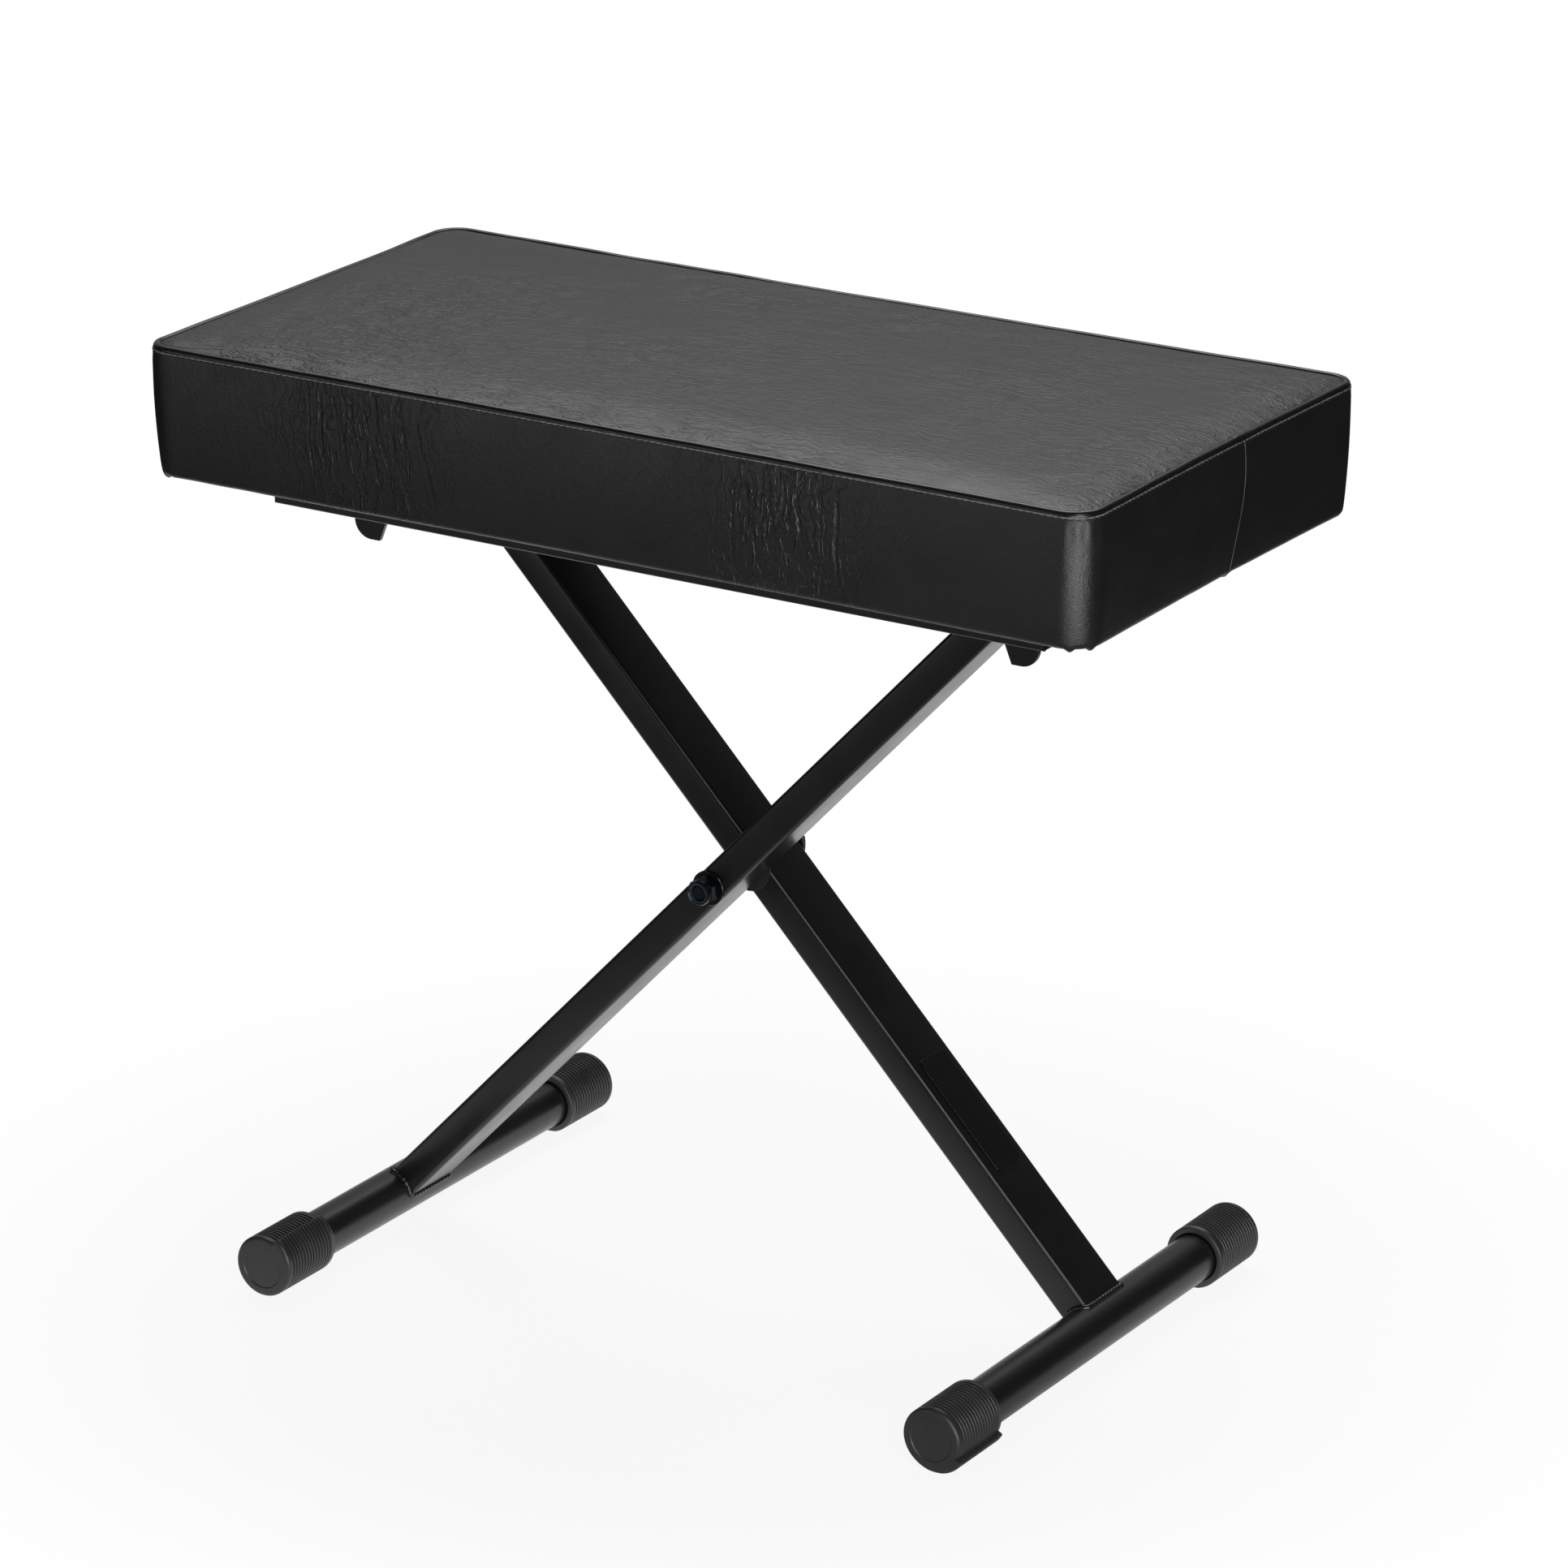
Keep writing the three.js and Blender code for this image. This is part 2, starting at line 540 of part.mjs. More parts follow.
// Plan outline of the seat at an inset from its widest line, with each side pulled in between its corners
function seatRing(inset, z) {
  const halfLength = SEAT_LENGTH / 2 - inset;
  const halfWidth = SEAT_WIDTH / 2 - inset;
  const corner = Math.max(SEAT_CORNER - inset, SEAT_CORNER * cornerShare);
  const points = [];
  const sides = [
    { toX: 1, toY: -1, start: -90, run: [0, 1], steps: SHORT_SIDE_STEPS },
    { toX: 1, toY: 1, start: 0, run: [-1, 0], steps: LONG_SIDE_STEPS },
    { toX: -1, toY: 1, start: 90, run: [0, -1], steps: SHORT_SIDE_STEPS },
    { toX: -1, toY: -1, start: 180, run: [1, 0], steps: LONG_SIDE_STEPS },
  ];
  for (const { toX, toY, start, run, steps } of sides) {
    const cx = toX * (halfLength - corner);
    const cy = toY * (halfWidth - corner);
    for (let i = 0; i <= CORNER_STEPS; i++) {
      const angle = rad(start + (90 * i) / CORNER_STEPS);
      points.push([cx + corner * Math.cos(angle), cy + corner * Math.sin(angle), z]);
    }
    const [lx, ly] = points.at(-1);
    const straight = 2 * ((run[0] ? halfLength : halfWidth) - corner);
    for (let i = 1; i < steps; i++) {
      const share = i / steps;
      const pull = SEAT_PULL * Math.sin(Math.PI * share);
      const x = lx + run[0] * straight * share - run[1] * pull;
      const y = ly + run[1] * straight * share + run[0] * pull;
      points.push([x, y, z]);
    }
  }
  return points;
}

// A shell between an upper and a lower stack of seat rings, listed from the edge inwards
function sheetSolid(upper, lower) {
  return gridSolid([...[...upper].reverse(), ...lower].map(([inset, z]) => seatRing(inset, z)));
}

const panelEdge = 2 * PIPING_RADIUS + GAP; // the top panel starts behind the piping
const crownAt = (share) => SEAT_CROWN * (1 - (1 - share) ** CROWN_ROUNDNESS);
const taperAt = (z) => (SEAT_TAPER * (seatTop - z)) / SEAT_THICKNESS;
const crownShares = [0.02, 0.08, 0.2, 0.45, 1]; // of the crown's run, from the seam inwards

function addSeat() {
  const seamHeight = seatTop - PIPING_RADIUS;
  const sheet = COVER_THICKNESS + GAP;
  const bandTop = seamHeight - PIPING_RADIUS - GAP;
  // Top panel: its edge turns down behind the piping
  const crown = crownShares.map((share) => [panelEdge + share * CROWN_RUN, seatTop + crownAt(share)]);
  const upper = [[panelEdge, seamHeight], ...crown];
  const lower = [
    [panelEdge + COVER_THICKNESS, seamHeight],
    ...crown.map(([inset, z]) => [inset + COVER_THICKNESS, z - COVER_THICKNESS]),
  ];
  addPiece("cover_top_panel", sheetSolid(upper, lower), vinyl);
  // Boxing: the side band, turned under the board
  const hemTop = underside + DUST_THICKNESS + GAP;
  const outerFace = (z) => PIPING_PROUD + taperAt(z);
  const band = [
    [outerFace(bandTop), bandTop],
    [outerFace((bandTop + hemTop) / 2), (bandTop + hemTop) / 2],
    [outerFace(hemTop) + COVER_THICKNESS / 2, hemTop + COVER_THICKNESS / 2],
    [outerFace(hemTop) + 2 * COVER_THICKNESS, hemTop],
    [outerFace(hemTop) + HEM_WIDTH, hemTop],
    [outerFace(hemTop) + HEM_WIDTH, hemTop + COVER_THICKNESS],
    [outerFace(hemTop) + 2 * COVER_THICKNESS, hemTop + COVER_THICKNESS],
    [outerFace(bandTop) + COVER_THICKNESS, bandTop],
  ];
  addPiece("cover_boxing", gridSolid(band.map(([inset, z]) => seatRing(inset, z)), true), vinyl);
  // Piping round the seam
  const pipe = Array.from({ length: PIPING_SIDES }, (_, i) => {
    const angle = (2 * Math.PI * i) / PIPING_SIDES;
    return seatRing(PIPING_RADIUS * (1 - Math.cos(angle)), seamHeight + PIPING_RADIUS * Math.sin(angle));
  });
  addPiece("cover_piping", gridSolid(pipe, true), pipingVinyl);
  // Plywood board, with a bore for each screw
  const boardEdge = outerFace(hemTop) + 2 * COVER_THICKNESS + BOARD_INSET;
  const board = gridSolid([seatRing(boardEdge, boardBottom), seatRing(boardEdge, boardTop)]);
  const bores = screwPlaces.map(({ x, y }) => screwTool(x, y));
  addPiece("seat_board", cut(board, ...bores), plywood);
  // Foam block, crowned like the panel above it
  const foamBottom = boardTop + GAP;
  const foamEdge = panelEdge + sheet;
  const foamRings = [
    [outerFace(foamBottom) + sheet + COVER_THICKNESS, foamBottom],
    [outerFace(bandTop) + sheet, bandTop],
    [foamEdge + GAP, bandTop + GAP],
    ...crown.map(([inset, z]) => [inset + sheet, z - sheet]),
  ];
  addPiece("seat_foam", gridSolid(foamRings.map(([inset, z]) => seatRing(inset, z))), foam);
  // Dust cover over the turned edge
  const dustEdge = outerFace(hemTop) + DUST_INSET;
  const dust = gridSolid([seatRing(dustEdge, underside), seatRing(dustEdge, underside + DUST_THICKNESS)]);
  addPiece("dust_cover", cut(dust, ...bores), dustCloth);
}

addSeat();

// A box between two places along Y given in any order
const boxAcross = (x, y, z) => box([x[0], Math.min(...y), z[0]], [x[1], Math.max(...y), z[1]]);
function screwTools(start) {
  return screwPlaces.filter(({ name }) => name.startsWith(start)).map(({ x, y }) => screwTool(x, y));
}

// Rails under the front and back of the seat, and the end rail that closes them on the right
const bracketTop = underside - GAP / 2;
const flangeBottom = underside - RAIL_THICKNESS;
const railBottom = underside - RAIL_HEIGHT;
for (const [name, end] of [["front", -1], ["back", 1]]) {
  const face = end * RAIL_FACE;
  const skirt = boxAcross([-railEnd, railEnd], [face, face - end * RAIL_THICKNESS], [railBottom, bracketTop]);
  const flange = boxAcross([-railEnd, railEnd], [face, face - end * RAIL_WIDTH], [flangeBottom, bracketTop]);
  addPiece("rail_" + name, cut(join(skirt, flange), ...screwTools("rail_screw_" + name)), steel);
}
const endTop = flangeBottom - RAIL_GAP;
const endSkirtY = RAIL_FACE - RAIL_THICKNESS - RAIL_GAP;
const endFlangeY = RAIL_FACE - RAIL_WIDTH - RAIL_GAP;
const endSkirt = boxAcross(
  [railEnd - RAIL_THICKNESS, railEnd],
  [-endSkirtY, endSkirtY],
  [railBottom, endTop],
);
const endFlange = boxAcross(
  [railEnd - RAIL_WIDTH / 2, railEnd],
  [-endFlangeY, endFlangeY],
  [endTop - RAIL_THICKNESS, endTop],
);
addPiece("rail_end", join(endSkirt, endFlange), steel);

// Side plates: a long web with an ear at each end, and a flange screwed to the board.
// The right ears stand by the hinge bolt and the left ears keep the rack bar between them.
const plateBottom = underside - PLATE_HEIGHT;
function plateOutline() {
  const shape = new THREE.Shape();
  const earBottom = plateBottom - EAR_DROP;
  shape.moveTo(-plateEnd, bracketTop);
  shape.lineTo(-plateEnd, earBottom + EAR_RADIUS);
  shape.absarc(-plateEnd + EAR_RADIUS, earBottom + EAR_RADIUS, EAR_RADIUS, Math.PI, 1.5 * Math.PI);
  shape.lineTo(-plateEnd + EAR_WIDTH - EAR_SLOPE, earBottom);
  shape.lineTo(-plateEnd + EAR_WIDTH, plateBottom);
  shape.lineTo(plateEnd - EAR_WIDTH, plateBottom);
  shape.lineTo(plateEnd - EAR_WIDTH + EAR_SLOPE, earBottom);
  shape.absarc(plateEnd - EAR_RADIUS, earBottom + EAR_RADIUS, EAR_RADIUS, 1.5 * Math.PI, 2 * Math.PI);
  shape.lineTo(plateEnd, bracketTop);
  return shape;
}
for (const [name, end] of [["front", -1], ["back", 1]]) {
  const inner = end * PLATE_MIDDLE;
  const outer = inner + end * PLATE_THICKNESS;
  const web = plateAlongY(plateOutline(), Math.min(inner, outer), Math.max(inner, outer));
  const flange = boxAcross(
    [-plateEnd, plateEnd],
    [inner, outer + end * PLATE_FLANGE],
    [flangeBottom, bracketTop],
  );
  const boltTool = rod(HINGE_BOLT_RADIUS + GAP, -RAIL_FACE, RAIL_FACE, SMALL_STEPS);
  boltTool.translate(barX, 0, barHeight);
  const plate = cut(join(web, flange), boltTool, ...screwTools("plate_screw_" + name));
  addPiece("side_plate_" + name, plate, steel);
}

// Racks: a blade with a notch for each height, just above the rack bar, on a flange that joins the side plate
const bladeBottom = barHeight + BAR_RADIUS + GAP;
const notchRun = NOTCH_PITCH * (NOTCH_COUNT - 1);
const rackRight = -barX + (RACK_LENGTH - notchRun) / 2;
const rackSpan = [rackRight - RACK_LENGTH, rackRight];
for (const [name, end] of [["front", -1], ["back", 1]]) {
  const near = end * (RACK_INSET - RACK_THICKNESS / 2);
  const far = near + end * RACK_THICKNESS;
  const blade = boxAcross(rackSpan, [near, far], [bladeBottom, bracketTop]);
  const flange = boxAcross(rackSpan, [near, end * (PLATE_MIDDLE - GAP)], [flangeBottom, bracketTop]);
  const notches = Array.from({ length: NOTCH_COUNT }, (_, i) => {
    const tool = rod(NOTCH_RADIUS, -RAIL_FACE, RAIL_FACE, SMALL_STEPS);
    tool.translate(-barX - i * NOTCH_PITCH, 0, bladeBottom + NOTCH_DEPTH - NOTCH_RADIUS);
    return tool;
  });
  addPiece("rack_" + name, cut(join(blade, flange), ...notches), steel);
}

export default bench;
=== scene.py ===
# %% [markdown]
# # A folding keyboard bench
# The bench is a vinyl-covered cushion on a scissor of two flat steel tubes, with a round tube across
# each foot and turning rubber caps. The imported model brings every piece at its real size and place.
# This script keeps that frame and gives each piece its finished surface around it.
# %% Load the frame
import json
import math
import bpy
import bmesh
import numpy as np
from mathutils import Matrix, Vector


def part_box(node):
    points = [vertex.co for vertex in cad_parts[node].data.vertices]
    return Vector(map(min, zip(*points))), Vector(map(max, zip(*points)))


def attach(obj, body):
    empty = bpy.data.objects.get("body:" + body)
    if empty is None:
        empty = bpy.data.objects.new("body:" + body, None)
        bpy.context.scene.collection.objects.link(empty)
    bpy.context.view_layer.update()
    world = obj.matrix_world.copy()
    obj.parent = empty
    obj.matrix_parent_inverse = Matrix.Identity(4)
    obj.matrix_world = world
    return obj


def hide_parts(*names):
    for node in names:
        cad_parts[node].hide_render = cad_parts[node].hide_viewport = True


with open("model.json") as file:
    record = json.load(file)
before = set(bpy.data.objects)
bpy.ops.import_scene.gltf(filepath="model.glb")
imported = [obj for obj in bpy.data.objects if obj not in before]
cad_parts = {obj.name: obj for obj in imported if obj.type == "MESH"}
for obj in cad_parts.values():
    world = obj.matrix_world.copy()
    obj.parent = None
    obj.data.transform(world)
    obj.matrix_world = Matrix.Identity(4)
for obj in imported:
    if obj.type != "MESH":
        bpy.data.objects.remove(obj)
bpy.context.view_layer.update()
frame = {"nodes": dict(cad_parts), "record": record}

# %% [markdown]
# ## Sizes
# All shapes below are worked out in millimetres and turned to metres once, when they become meshes.
# The places come from the frame: joint positions give the pivot, the seat hinge and the foot tubes,
# and the boxes of a few nodes give the seat's outline and heights.
# %% Read the driving places
MM = 0.001


def box_mm(node):
    """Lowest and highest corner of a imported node, in millimetres."""
    low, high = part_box(node)
    return np.array(low) / MM, np.array(high) / MM


joints = {joint["name"]: joint for joint in frame["record"]["behaviour"]["joints"]}
place = {name: np.array(joint["pos_m"]) / MM for name, joint in joints.items()}
pivot = place["leg_fold"]
hinge = place["seat_hinge"]
foot = {"left": place["cap_turn_front_left"], "right": place["cap_turn_front_right"]}
leg_angle = math.atan2(hinge[2] - pivot[2], hinge[0] - pivot[0])
piping_low, piping_high = box_mm("cover_piping")
SEAT_HALF = (piping_high[:2] - piping_low[:2]) / 2
seam_z = (piping_high[2] + piping_low[2]) / 2
crown_top = box_mm("cover_top_panel")[1][2]
hem_z = box_mm("cover_boxing")[0][2]
underside = box_mm("dust_cover")[0][2]
print("leg angle", round(math.degrees(leg_angle), 2), "seam at", round(seam_z, 1),
      "underside", round(underside, 1))

# %% [markdown]
# ## The camera
# A product photograph like this one is taken from a few metres away with a long lens, which keeps the
# edges nearly parallel. The place and the lens were found by matching the bench's straight edges.
# %% Place the camera
CAMERA_PLACE = (2.0478, -3.1947, 1.66045)
CAMERA_YAW = 32.35
CAMERA_PITCH = -19.64
CAMERA_ROLL = -0.19
LENS = 162.56
SENSOR = 36
FAR_CLIP = 50


def look_matrix(yaw, pitch, roll):
    """Camera axes as columns: right, up and back, from compass yaw, tilt and roll in degrees."""
    yaw, pitch, roll = np.radians([yaw, pitch, roll])
    ahead = np.array([-np.sin(yaw) * np.cos(pitch), np.cos(yaw) * np.cos(pitch), np.sin(pitch)])
    right = np.array([np.cos(yaw), np.sin(yaw), 0])
    up = np.cross(right, ahead)
    level = np.stack([right, up], 1) @ np.array([[np.cos(roll), -np.sin(roll)], [np.sin(roll), np.cos(roll)]])
    return np.column_stack([level, -ahead])


camera_data = bpy.data.cameras.new("camera")
camera_data.lens = LENS
camera_data.sensor_width = SENSOR
camera_data.clip_end = FAR_CLIP
camera = bpy.data.objects.new("camera", camera_data)
bpy.context.scene.collection.objects.link(camera)
turn = Matrix(look_matrix(CAMERA_YAW, CAMERA_PITCH, CAMERA_ROLL).tolist()).to_4x4()
camera.matrix_world = Matrix.Translation(CAMERA_PLACE) @ turn
bpy.context.scene.camera = camera

# %% [markdown]
# ## Building meshes from numbers
# A surface is an array of points in rows and columns. Neighbouring points make the faces, and a row or
# a column can wrap round to close the surface. Merging doubles closes poles and seams, and then the
# normals of closed surfaces are turned outwards.
# %% Helpers for meshes
SMOOTH_ANGLE = 32
MERGE_DISTANCE = 2e-6


def grid_quads(rows, columns, wrap_rows=False, wrap_columns=False):
    """Corner numbers of the faces between neighbouring points of a grid."""
    row, column = np.arange(rows - (not wrap_rows)), np.arange(columns - (not wrap_columns))
    i, j = np.meshgrid(row, column, indexing="ij")
    below, beside = (i + 1) % rows, (j + 1) % columns
    quads = [i * columns + j, i * columns + beside, below * columns + beside, below * columns + j]
    return np.stack(quads, -1).reshape(-1, 4)


def set_up(name, mesh, material, body, nodes, smooth):
    """A finished object from a mesh: smooth below an angle, riding on its body, in place of its nodes."""
    mesh.materials.clear()
    mesh.materials.append(material)
    mesh.shade_smooth()
    mesh.set_sharp_from_angle(angle=math.radians(smooth))
    piece = bpy.data.objects.new(name, mesh)
    bpy.context.scene.collection.objects.link(piece)
    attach(piece, body)
    if nodes:
        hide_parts(*nodes)
    return piece


def put_mesh(name, points, faces, material, body, nodes=(), slot=None, closed=True, smooth=SMOOTH_ANGLE):
    """A finished piece from points in millimetres, merged and, where closed, facing outwards."""
    mesh = bpy.data.meshes.new(name)
    mesh.from_pydata((np.asarray(points).reshape(-1, 3) * MM).tolist(), [], [list(map(int, f)) for f in faces])
    shape = bmesh.new()
    shape.from_mesh(mesh)
    bmesh.ops.remove_doubles(shape, verts=shape.verts, dist=MERGE_DISTANCE)
    if closed:
        bmesh.ops.recalc_face_normals(shape, faces=shape.faces)
    shape.to_mesh(mesh)
    shape.free()
    return set_up(name, mesh, material, body, nodes, smooth)


def many(parts):
    """Several point and face sets as one: each part's face numbers are moved past the points before."""
    points, faces, start = [], [], 0
    for part_points, part_faces in parts:
        part_points = np.asarray(part_points).reshape(-1, 3)
        points.append(part_points)
        faces += [[int(c) + start for c in face] for face in part_faces]
        start += len(part_points)
    return np.concatenate(points), faces


def turned(profile, steps=64):
    """A profile of radius and height turned about the Z axis: x = r cos a, y = r sin a, z = h."""
    radius, height = np.asarray(profile, float).T
    angle = np.linspace(0, 2 * np.pi, steps, endpoint=False)
    points = np.stack([
        radius[:, None] * np.cos(angle),
        radius[:, None] * np.sin(angle),
        height[:, None] + 0 * angle,
    ], -1)
    return points.reshape(-1, 3), grid_quads(len(radius), steps, wrap_columns=True)


def carried(path, across, up, profile, closed=True, size=1.0):
    """A profile carried along a path: point = path + size * (across * u + up * v) for each profile point."""
    profile = np.asarray(profile, float)
    across, up = np.broadcast_to(across, path.shape), np.broadcast_to(up, path.shape)
    spread = across[:, None] * profile[None, :, :1] + up[:, None] * profile[None, :, 1:]
    points = path[:, None] + np.broadcast_to(size, len(path))[:, None, None] * spread
    faces = grid_quads(len(path), len(profile), wrap_rows=closed, wrap_columns=True).tolist()
    if not closed:
        last = (len(path) - 1) * len(profile)
        faces += [list(range(len(profile)))[::-1], [last + k for k in range(len(profile))]]
    return points.reshape(-1, 3), faces


def circle(radius, steps):
    """Points of a circle: (r cos a, r sin a)."""
    angle = np.linspace(0, 2 * np.pi, steps, endpoint=False)
    return np.stack([radius * np.cos(angle), radius * np.sin(angle)], -1)


def rounded_rectangle(half_wide, half_high, corner, steps=6):
    """A rectangle's outline with quarter-circle corners, counter-clockwise."""
    angle = np.linspace(0, np.pi / 2, steps + 1)
    quarter = corner * np.stack([np.cos(angle), np.sin(angle)], -1)
    centre = np.array([half_wide - corner, half_high - corner])
    corners = []
    for sign_x, sign_y in ((1, 1), (-1, 1), (-1, -1), (1, -1)):
        points = quarter if sign_x * sign_y > 0 else quarter[::-1]
        corners.append((points + centre) * (sign_x, sign_y))
    return np.concatenate(corners)


# %% [markdown]
# ## Building materials
# Every colour is written as it looks on screen and turned to linear light by one function. One small
# function adds any node with its settings and links. Patterns read Object coordinates, which are
# metres here, so a texture's scale is one over the real size of its grain. Noise mostly lies between
# 0.3 and 0.7, so that span is stretched to the range that a finish needs.
# %% Helpers for materials


def colour(hex_code):
    """An sRGB hex colour as linear red, green, blue and alpha."""
    srgb = np.array([int(hex_code[i:i + 2], 16) for i in (1, 3, 5)]) / 255
    linear = np.where(srgb <= 0.04045, srgb / 12.92, ((srgb + 0.055) / 1.055) ** 2.4)
    return (*linear.tolist(), 1)


def feed(tree, node, **sockets):
    """Gives sockets values or links. _2 stands for socket number 2 and Base_Color for "Base Color"."""
    for key, value in sockets.items():
        socket = node.inputs[int(key[1:]) if key[0] == "_" else key.replace("_", " ")]
        if isinstance(value, bpy.types.NodeSocket):
            tree.links.new(value, socket)
        else:
            socket.default_value = value
    return node


def add(tree, kind, settings=None, **sockets):
    """Adds a shader node: settings are its own properties, and its sockets are fed."""
    made = tree.nodes.new("ShaderNode" + kind)
    for key, value in (settings or {}).items():
        setattr(made, key, value)
    return feed(tree, made, **sockets)


RGBA = {"data_type": "RGBA"}
SMOOTH_STEP = {"interpolation_type": "SMOOTHSTEP"}
NOISE_SPAN = {"From_Min": 0.3, "From_Max": 0.7}


def grain(size_mm):
    """Texture scale for features of a real size, on coordinates in metres."""
    return 1 / (size_mm * MM)


def new_material(name, base, roughness, ior=1.5, metallic=0.0):
    """A principled material with its tree, shader and Object coordinates."""
    material = bpy.data.materials.new(name)
    material.use_nodes = True
    tree = material.node_tree
    shader = tree.nodes["Principled BSDF"]
    feed(tree, shader, Base_Color=colour(base), Roughness=roughness, IOR=ior, Metallic=metallic)
    where = add(tree, "TexCoord").outputs["Object"]
    return material, tree, shader, where


# %% [markdown]
# ### Upholstery vinyl
# The cover is embossed PVC on a knitted backing, calendered with a fine leather grain. The eye sees a
# soft sheen broken by the grain, and creases where the sheet was folded in its roll: fine lines that
# run up and down the side band and lengthwise on the top. The grain is drawn about twice as coarse as
# the real 0.5 mm so that it shows.
# %% Vinyl
GRAIN_MM = 1.1
GRAIN_DEPTH_MM = 0.045
CREASE_MM = 5.5
CREASE_LENGTH_MM = 60
CREASE_PLACES_MM = (-158, 118)
CREASE_REACH_MM = 46
CREASE_LEAST = 0.12
CREASE_PATCH_MM = 140
WANDER_MM = 22
WANDER_REACH = 0.02
CLOUD_MM = 35


def vinyl(name, stretch, patches, crease_depth):
    """Grained vinyl. stretch scales the creases on each axis, and patches says where they gather."""
    material, tree, shader, where = new_material(name, "#18181a", 0.4)
    cells = add(tree, "TexVoronoi", {"feature": "DISTANCE_TO_EDGE"}, Vector=where, Scale=grain(GRAIN_MM))
    pebble = add(tree, "MapRange", Value=cells.outputs["Distance"], From_Max=0.25)
    wander = add(tree, "TexNoise", Vector=where, Scale=grain(WANDER_MM), Detail=3.0)
    shift = add(tree, "VectorMath", {"operation": "SCALE"}, _0=wander.outputs["Color"], Scale=WANDER_REACH)
    bent = add(tree, "VectorMath", {"operation": "ADD"}, _0=where, _1=shift.outputs[0])
    lines = add(tree, "Mapping", Vector=bent.outputs[0], Scale=stretch)
    folds = add(tree, "TexNoise", Vector=lines.outputs[0], Scale=grain(CREASE_MM), Detail=2.5)
    ridge = add(tree, "Math", {"operation": "PINGPONG"}, _0=folds.outputs["Fac"], _1=0.5)
    crest = add(tree, "MapRange", SMOOTH_STEP, Value=ridge.outputs[0], From_Min=0.4, From_Max=0.5)
    creases = add(tree, "Math", {"operation": "MULTIPLY"}, _0=crest.outputs[0], _1=patches(tree, where))
    deep = add(tree, "Bump", Height=creases.outputs[0], Distance=crease_depth * MM)
    fine = add(tree, "Bump", Height=pebble.outputs[0], Distance=GRAIN_DEPTH_MM * MM, Strength=0.7,
               Normal=deep.outputs[0])
    cloudy = add(tree, "TexNoise", Vector=where, Scale=grain(CLOUD_MM), Detail=4.0).outputs["Fac"]
    tone = add(tree, "Mix", RGBA, Factor=cloudy, _6=colour("#151517"), _7=colour("#1c1c1e"))
    gloss = add(tree, "MapRange", Value=cloudy, **NOISE_SPAN, To_Min=0.36, To_Max=0.46)
    feed(tree, shader, Normal=fine.outputs[0], Base_Color=tone.outputs[2], Roughness=gloss.outputs[0])
    return material


def side_patches(tree, where):
    """Creases gather around two places: bell curves of X alone, so the back has the same patches."""
    x = add(tree, "SeparateXYZ", Vector=where).outputs[0]
    bells = []
    for centre in CREASE_PLACES_MM:
        away = add(tree, "Math", {"operation": "SUBTRACT"}, _0=x, _1=centre * MM)
        ratio = add(tree, "Math", {"operation": "DIVIDE"}, _0=away.outputs[0], _1=CREASE_REACH_MM * MM)
        square = add(tree, "Math", {"operation": "MULTIPLY"}, _0=ratio.outputs[0], _1=ratio.outputs[0])
        fall = add(tree, "Math", {"operation": "MULTIPLY"}, _0=square.outputs[0], _1=-1.0)
        bells.append(add(tree, "Math", {"operation": "EXPONENT"}, _0=fall.outputs[0]).outputs[0])
    both = add(tree, "Math", {"operation": "ADD"}, _0=bells[0], _1=bells[1])
    least = add(tree, "Math", {"operation": "ADD", "use_clamp": True}, _0=both.outputs[0], _1=CREASE_LEAST)
    return least.outputs[0]


def top_patches(tree, where):
    """Creases come and go in cloudy patches over the top."""
    cloud = add(tree, "TexNoise", Vector=where, Scale=grain(CREASE_PATCH_MM), Detail=1.0)
    share = add(tree, "MapRange", Value=cloud.outputs["Fac"], **NOISE_SPAN, To_Min=0.1, To_Max=1.0)
    return share.outputs[0]


side_vinyl = vinyl("black_vinyl_side_band", (1, 1, CREASE_MM / CREASE_LENGTH_MM), side_patches, 0.35)
top_vinyl = vinyl("black_vinyl_top", (CREASE_MM / CREASE_LENGTH_MM, 1.1, 1), top_patches, 0.36)

# %% [markdown]
# ### Piping, powder coat, rubber and the rest
# Piping is a cord wrapped in a smoother strip of the same vinyl. The steel is powder coated: a baked
# polyester film with a faint orange peel. The caps are moulded rubber with a matt, slightly dusty skin.
# %% Other finishes
CLOUD_TO_SPECK = 24


def soft_plastic(name, base, lighter, roughness, bump_mm, size_mm, ior=1.5, metallic=0.0):
    """A moulded, sprayed or plated finish: a fine noise gives the bump, a wide one colour and gloss."""
    material, tree, shader, where = new_material(name, base, roughness, ior, metallic)
    speck = add(tree, "TexNoise", Vector=where, Scale=grain(size_mm), Detail=3.0)
    cloud_scale = grain(size_mm * CLOUD_TO_SPECK)
    cloud = add(tree, "TexNoise", Vector=where, Scale=cloud_scale, Detail=3.0).outputs["Fac"]
    bump = add(tree, "Bump", Height=speck.outputs["Fac"], Distance=bump_mm * MM, Strength=0.6)
    tone = add(tree, "Mix", RGBA, Factor=cloud, _6=colour(base), _7=colour(lighter))
    gloss = add(tree, "MapRange", Value=cloud, **NOISE_SPAN, To_Min=roughness * 0.88, To_Max=roughness * 1.12)
    feed(tree, shader, Normal=bump.outputs[0], Base_Color=tone.outputs[2], Roughness=gloss.outputs[0])
    return material


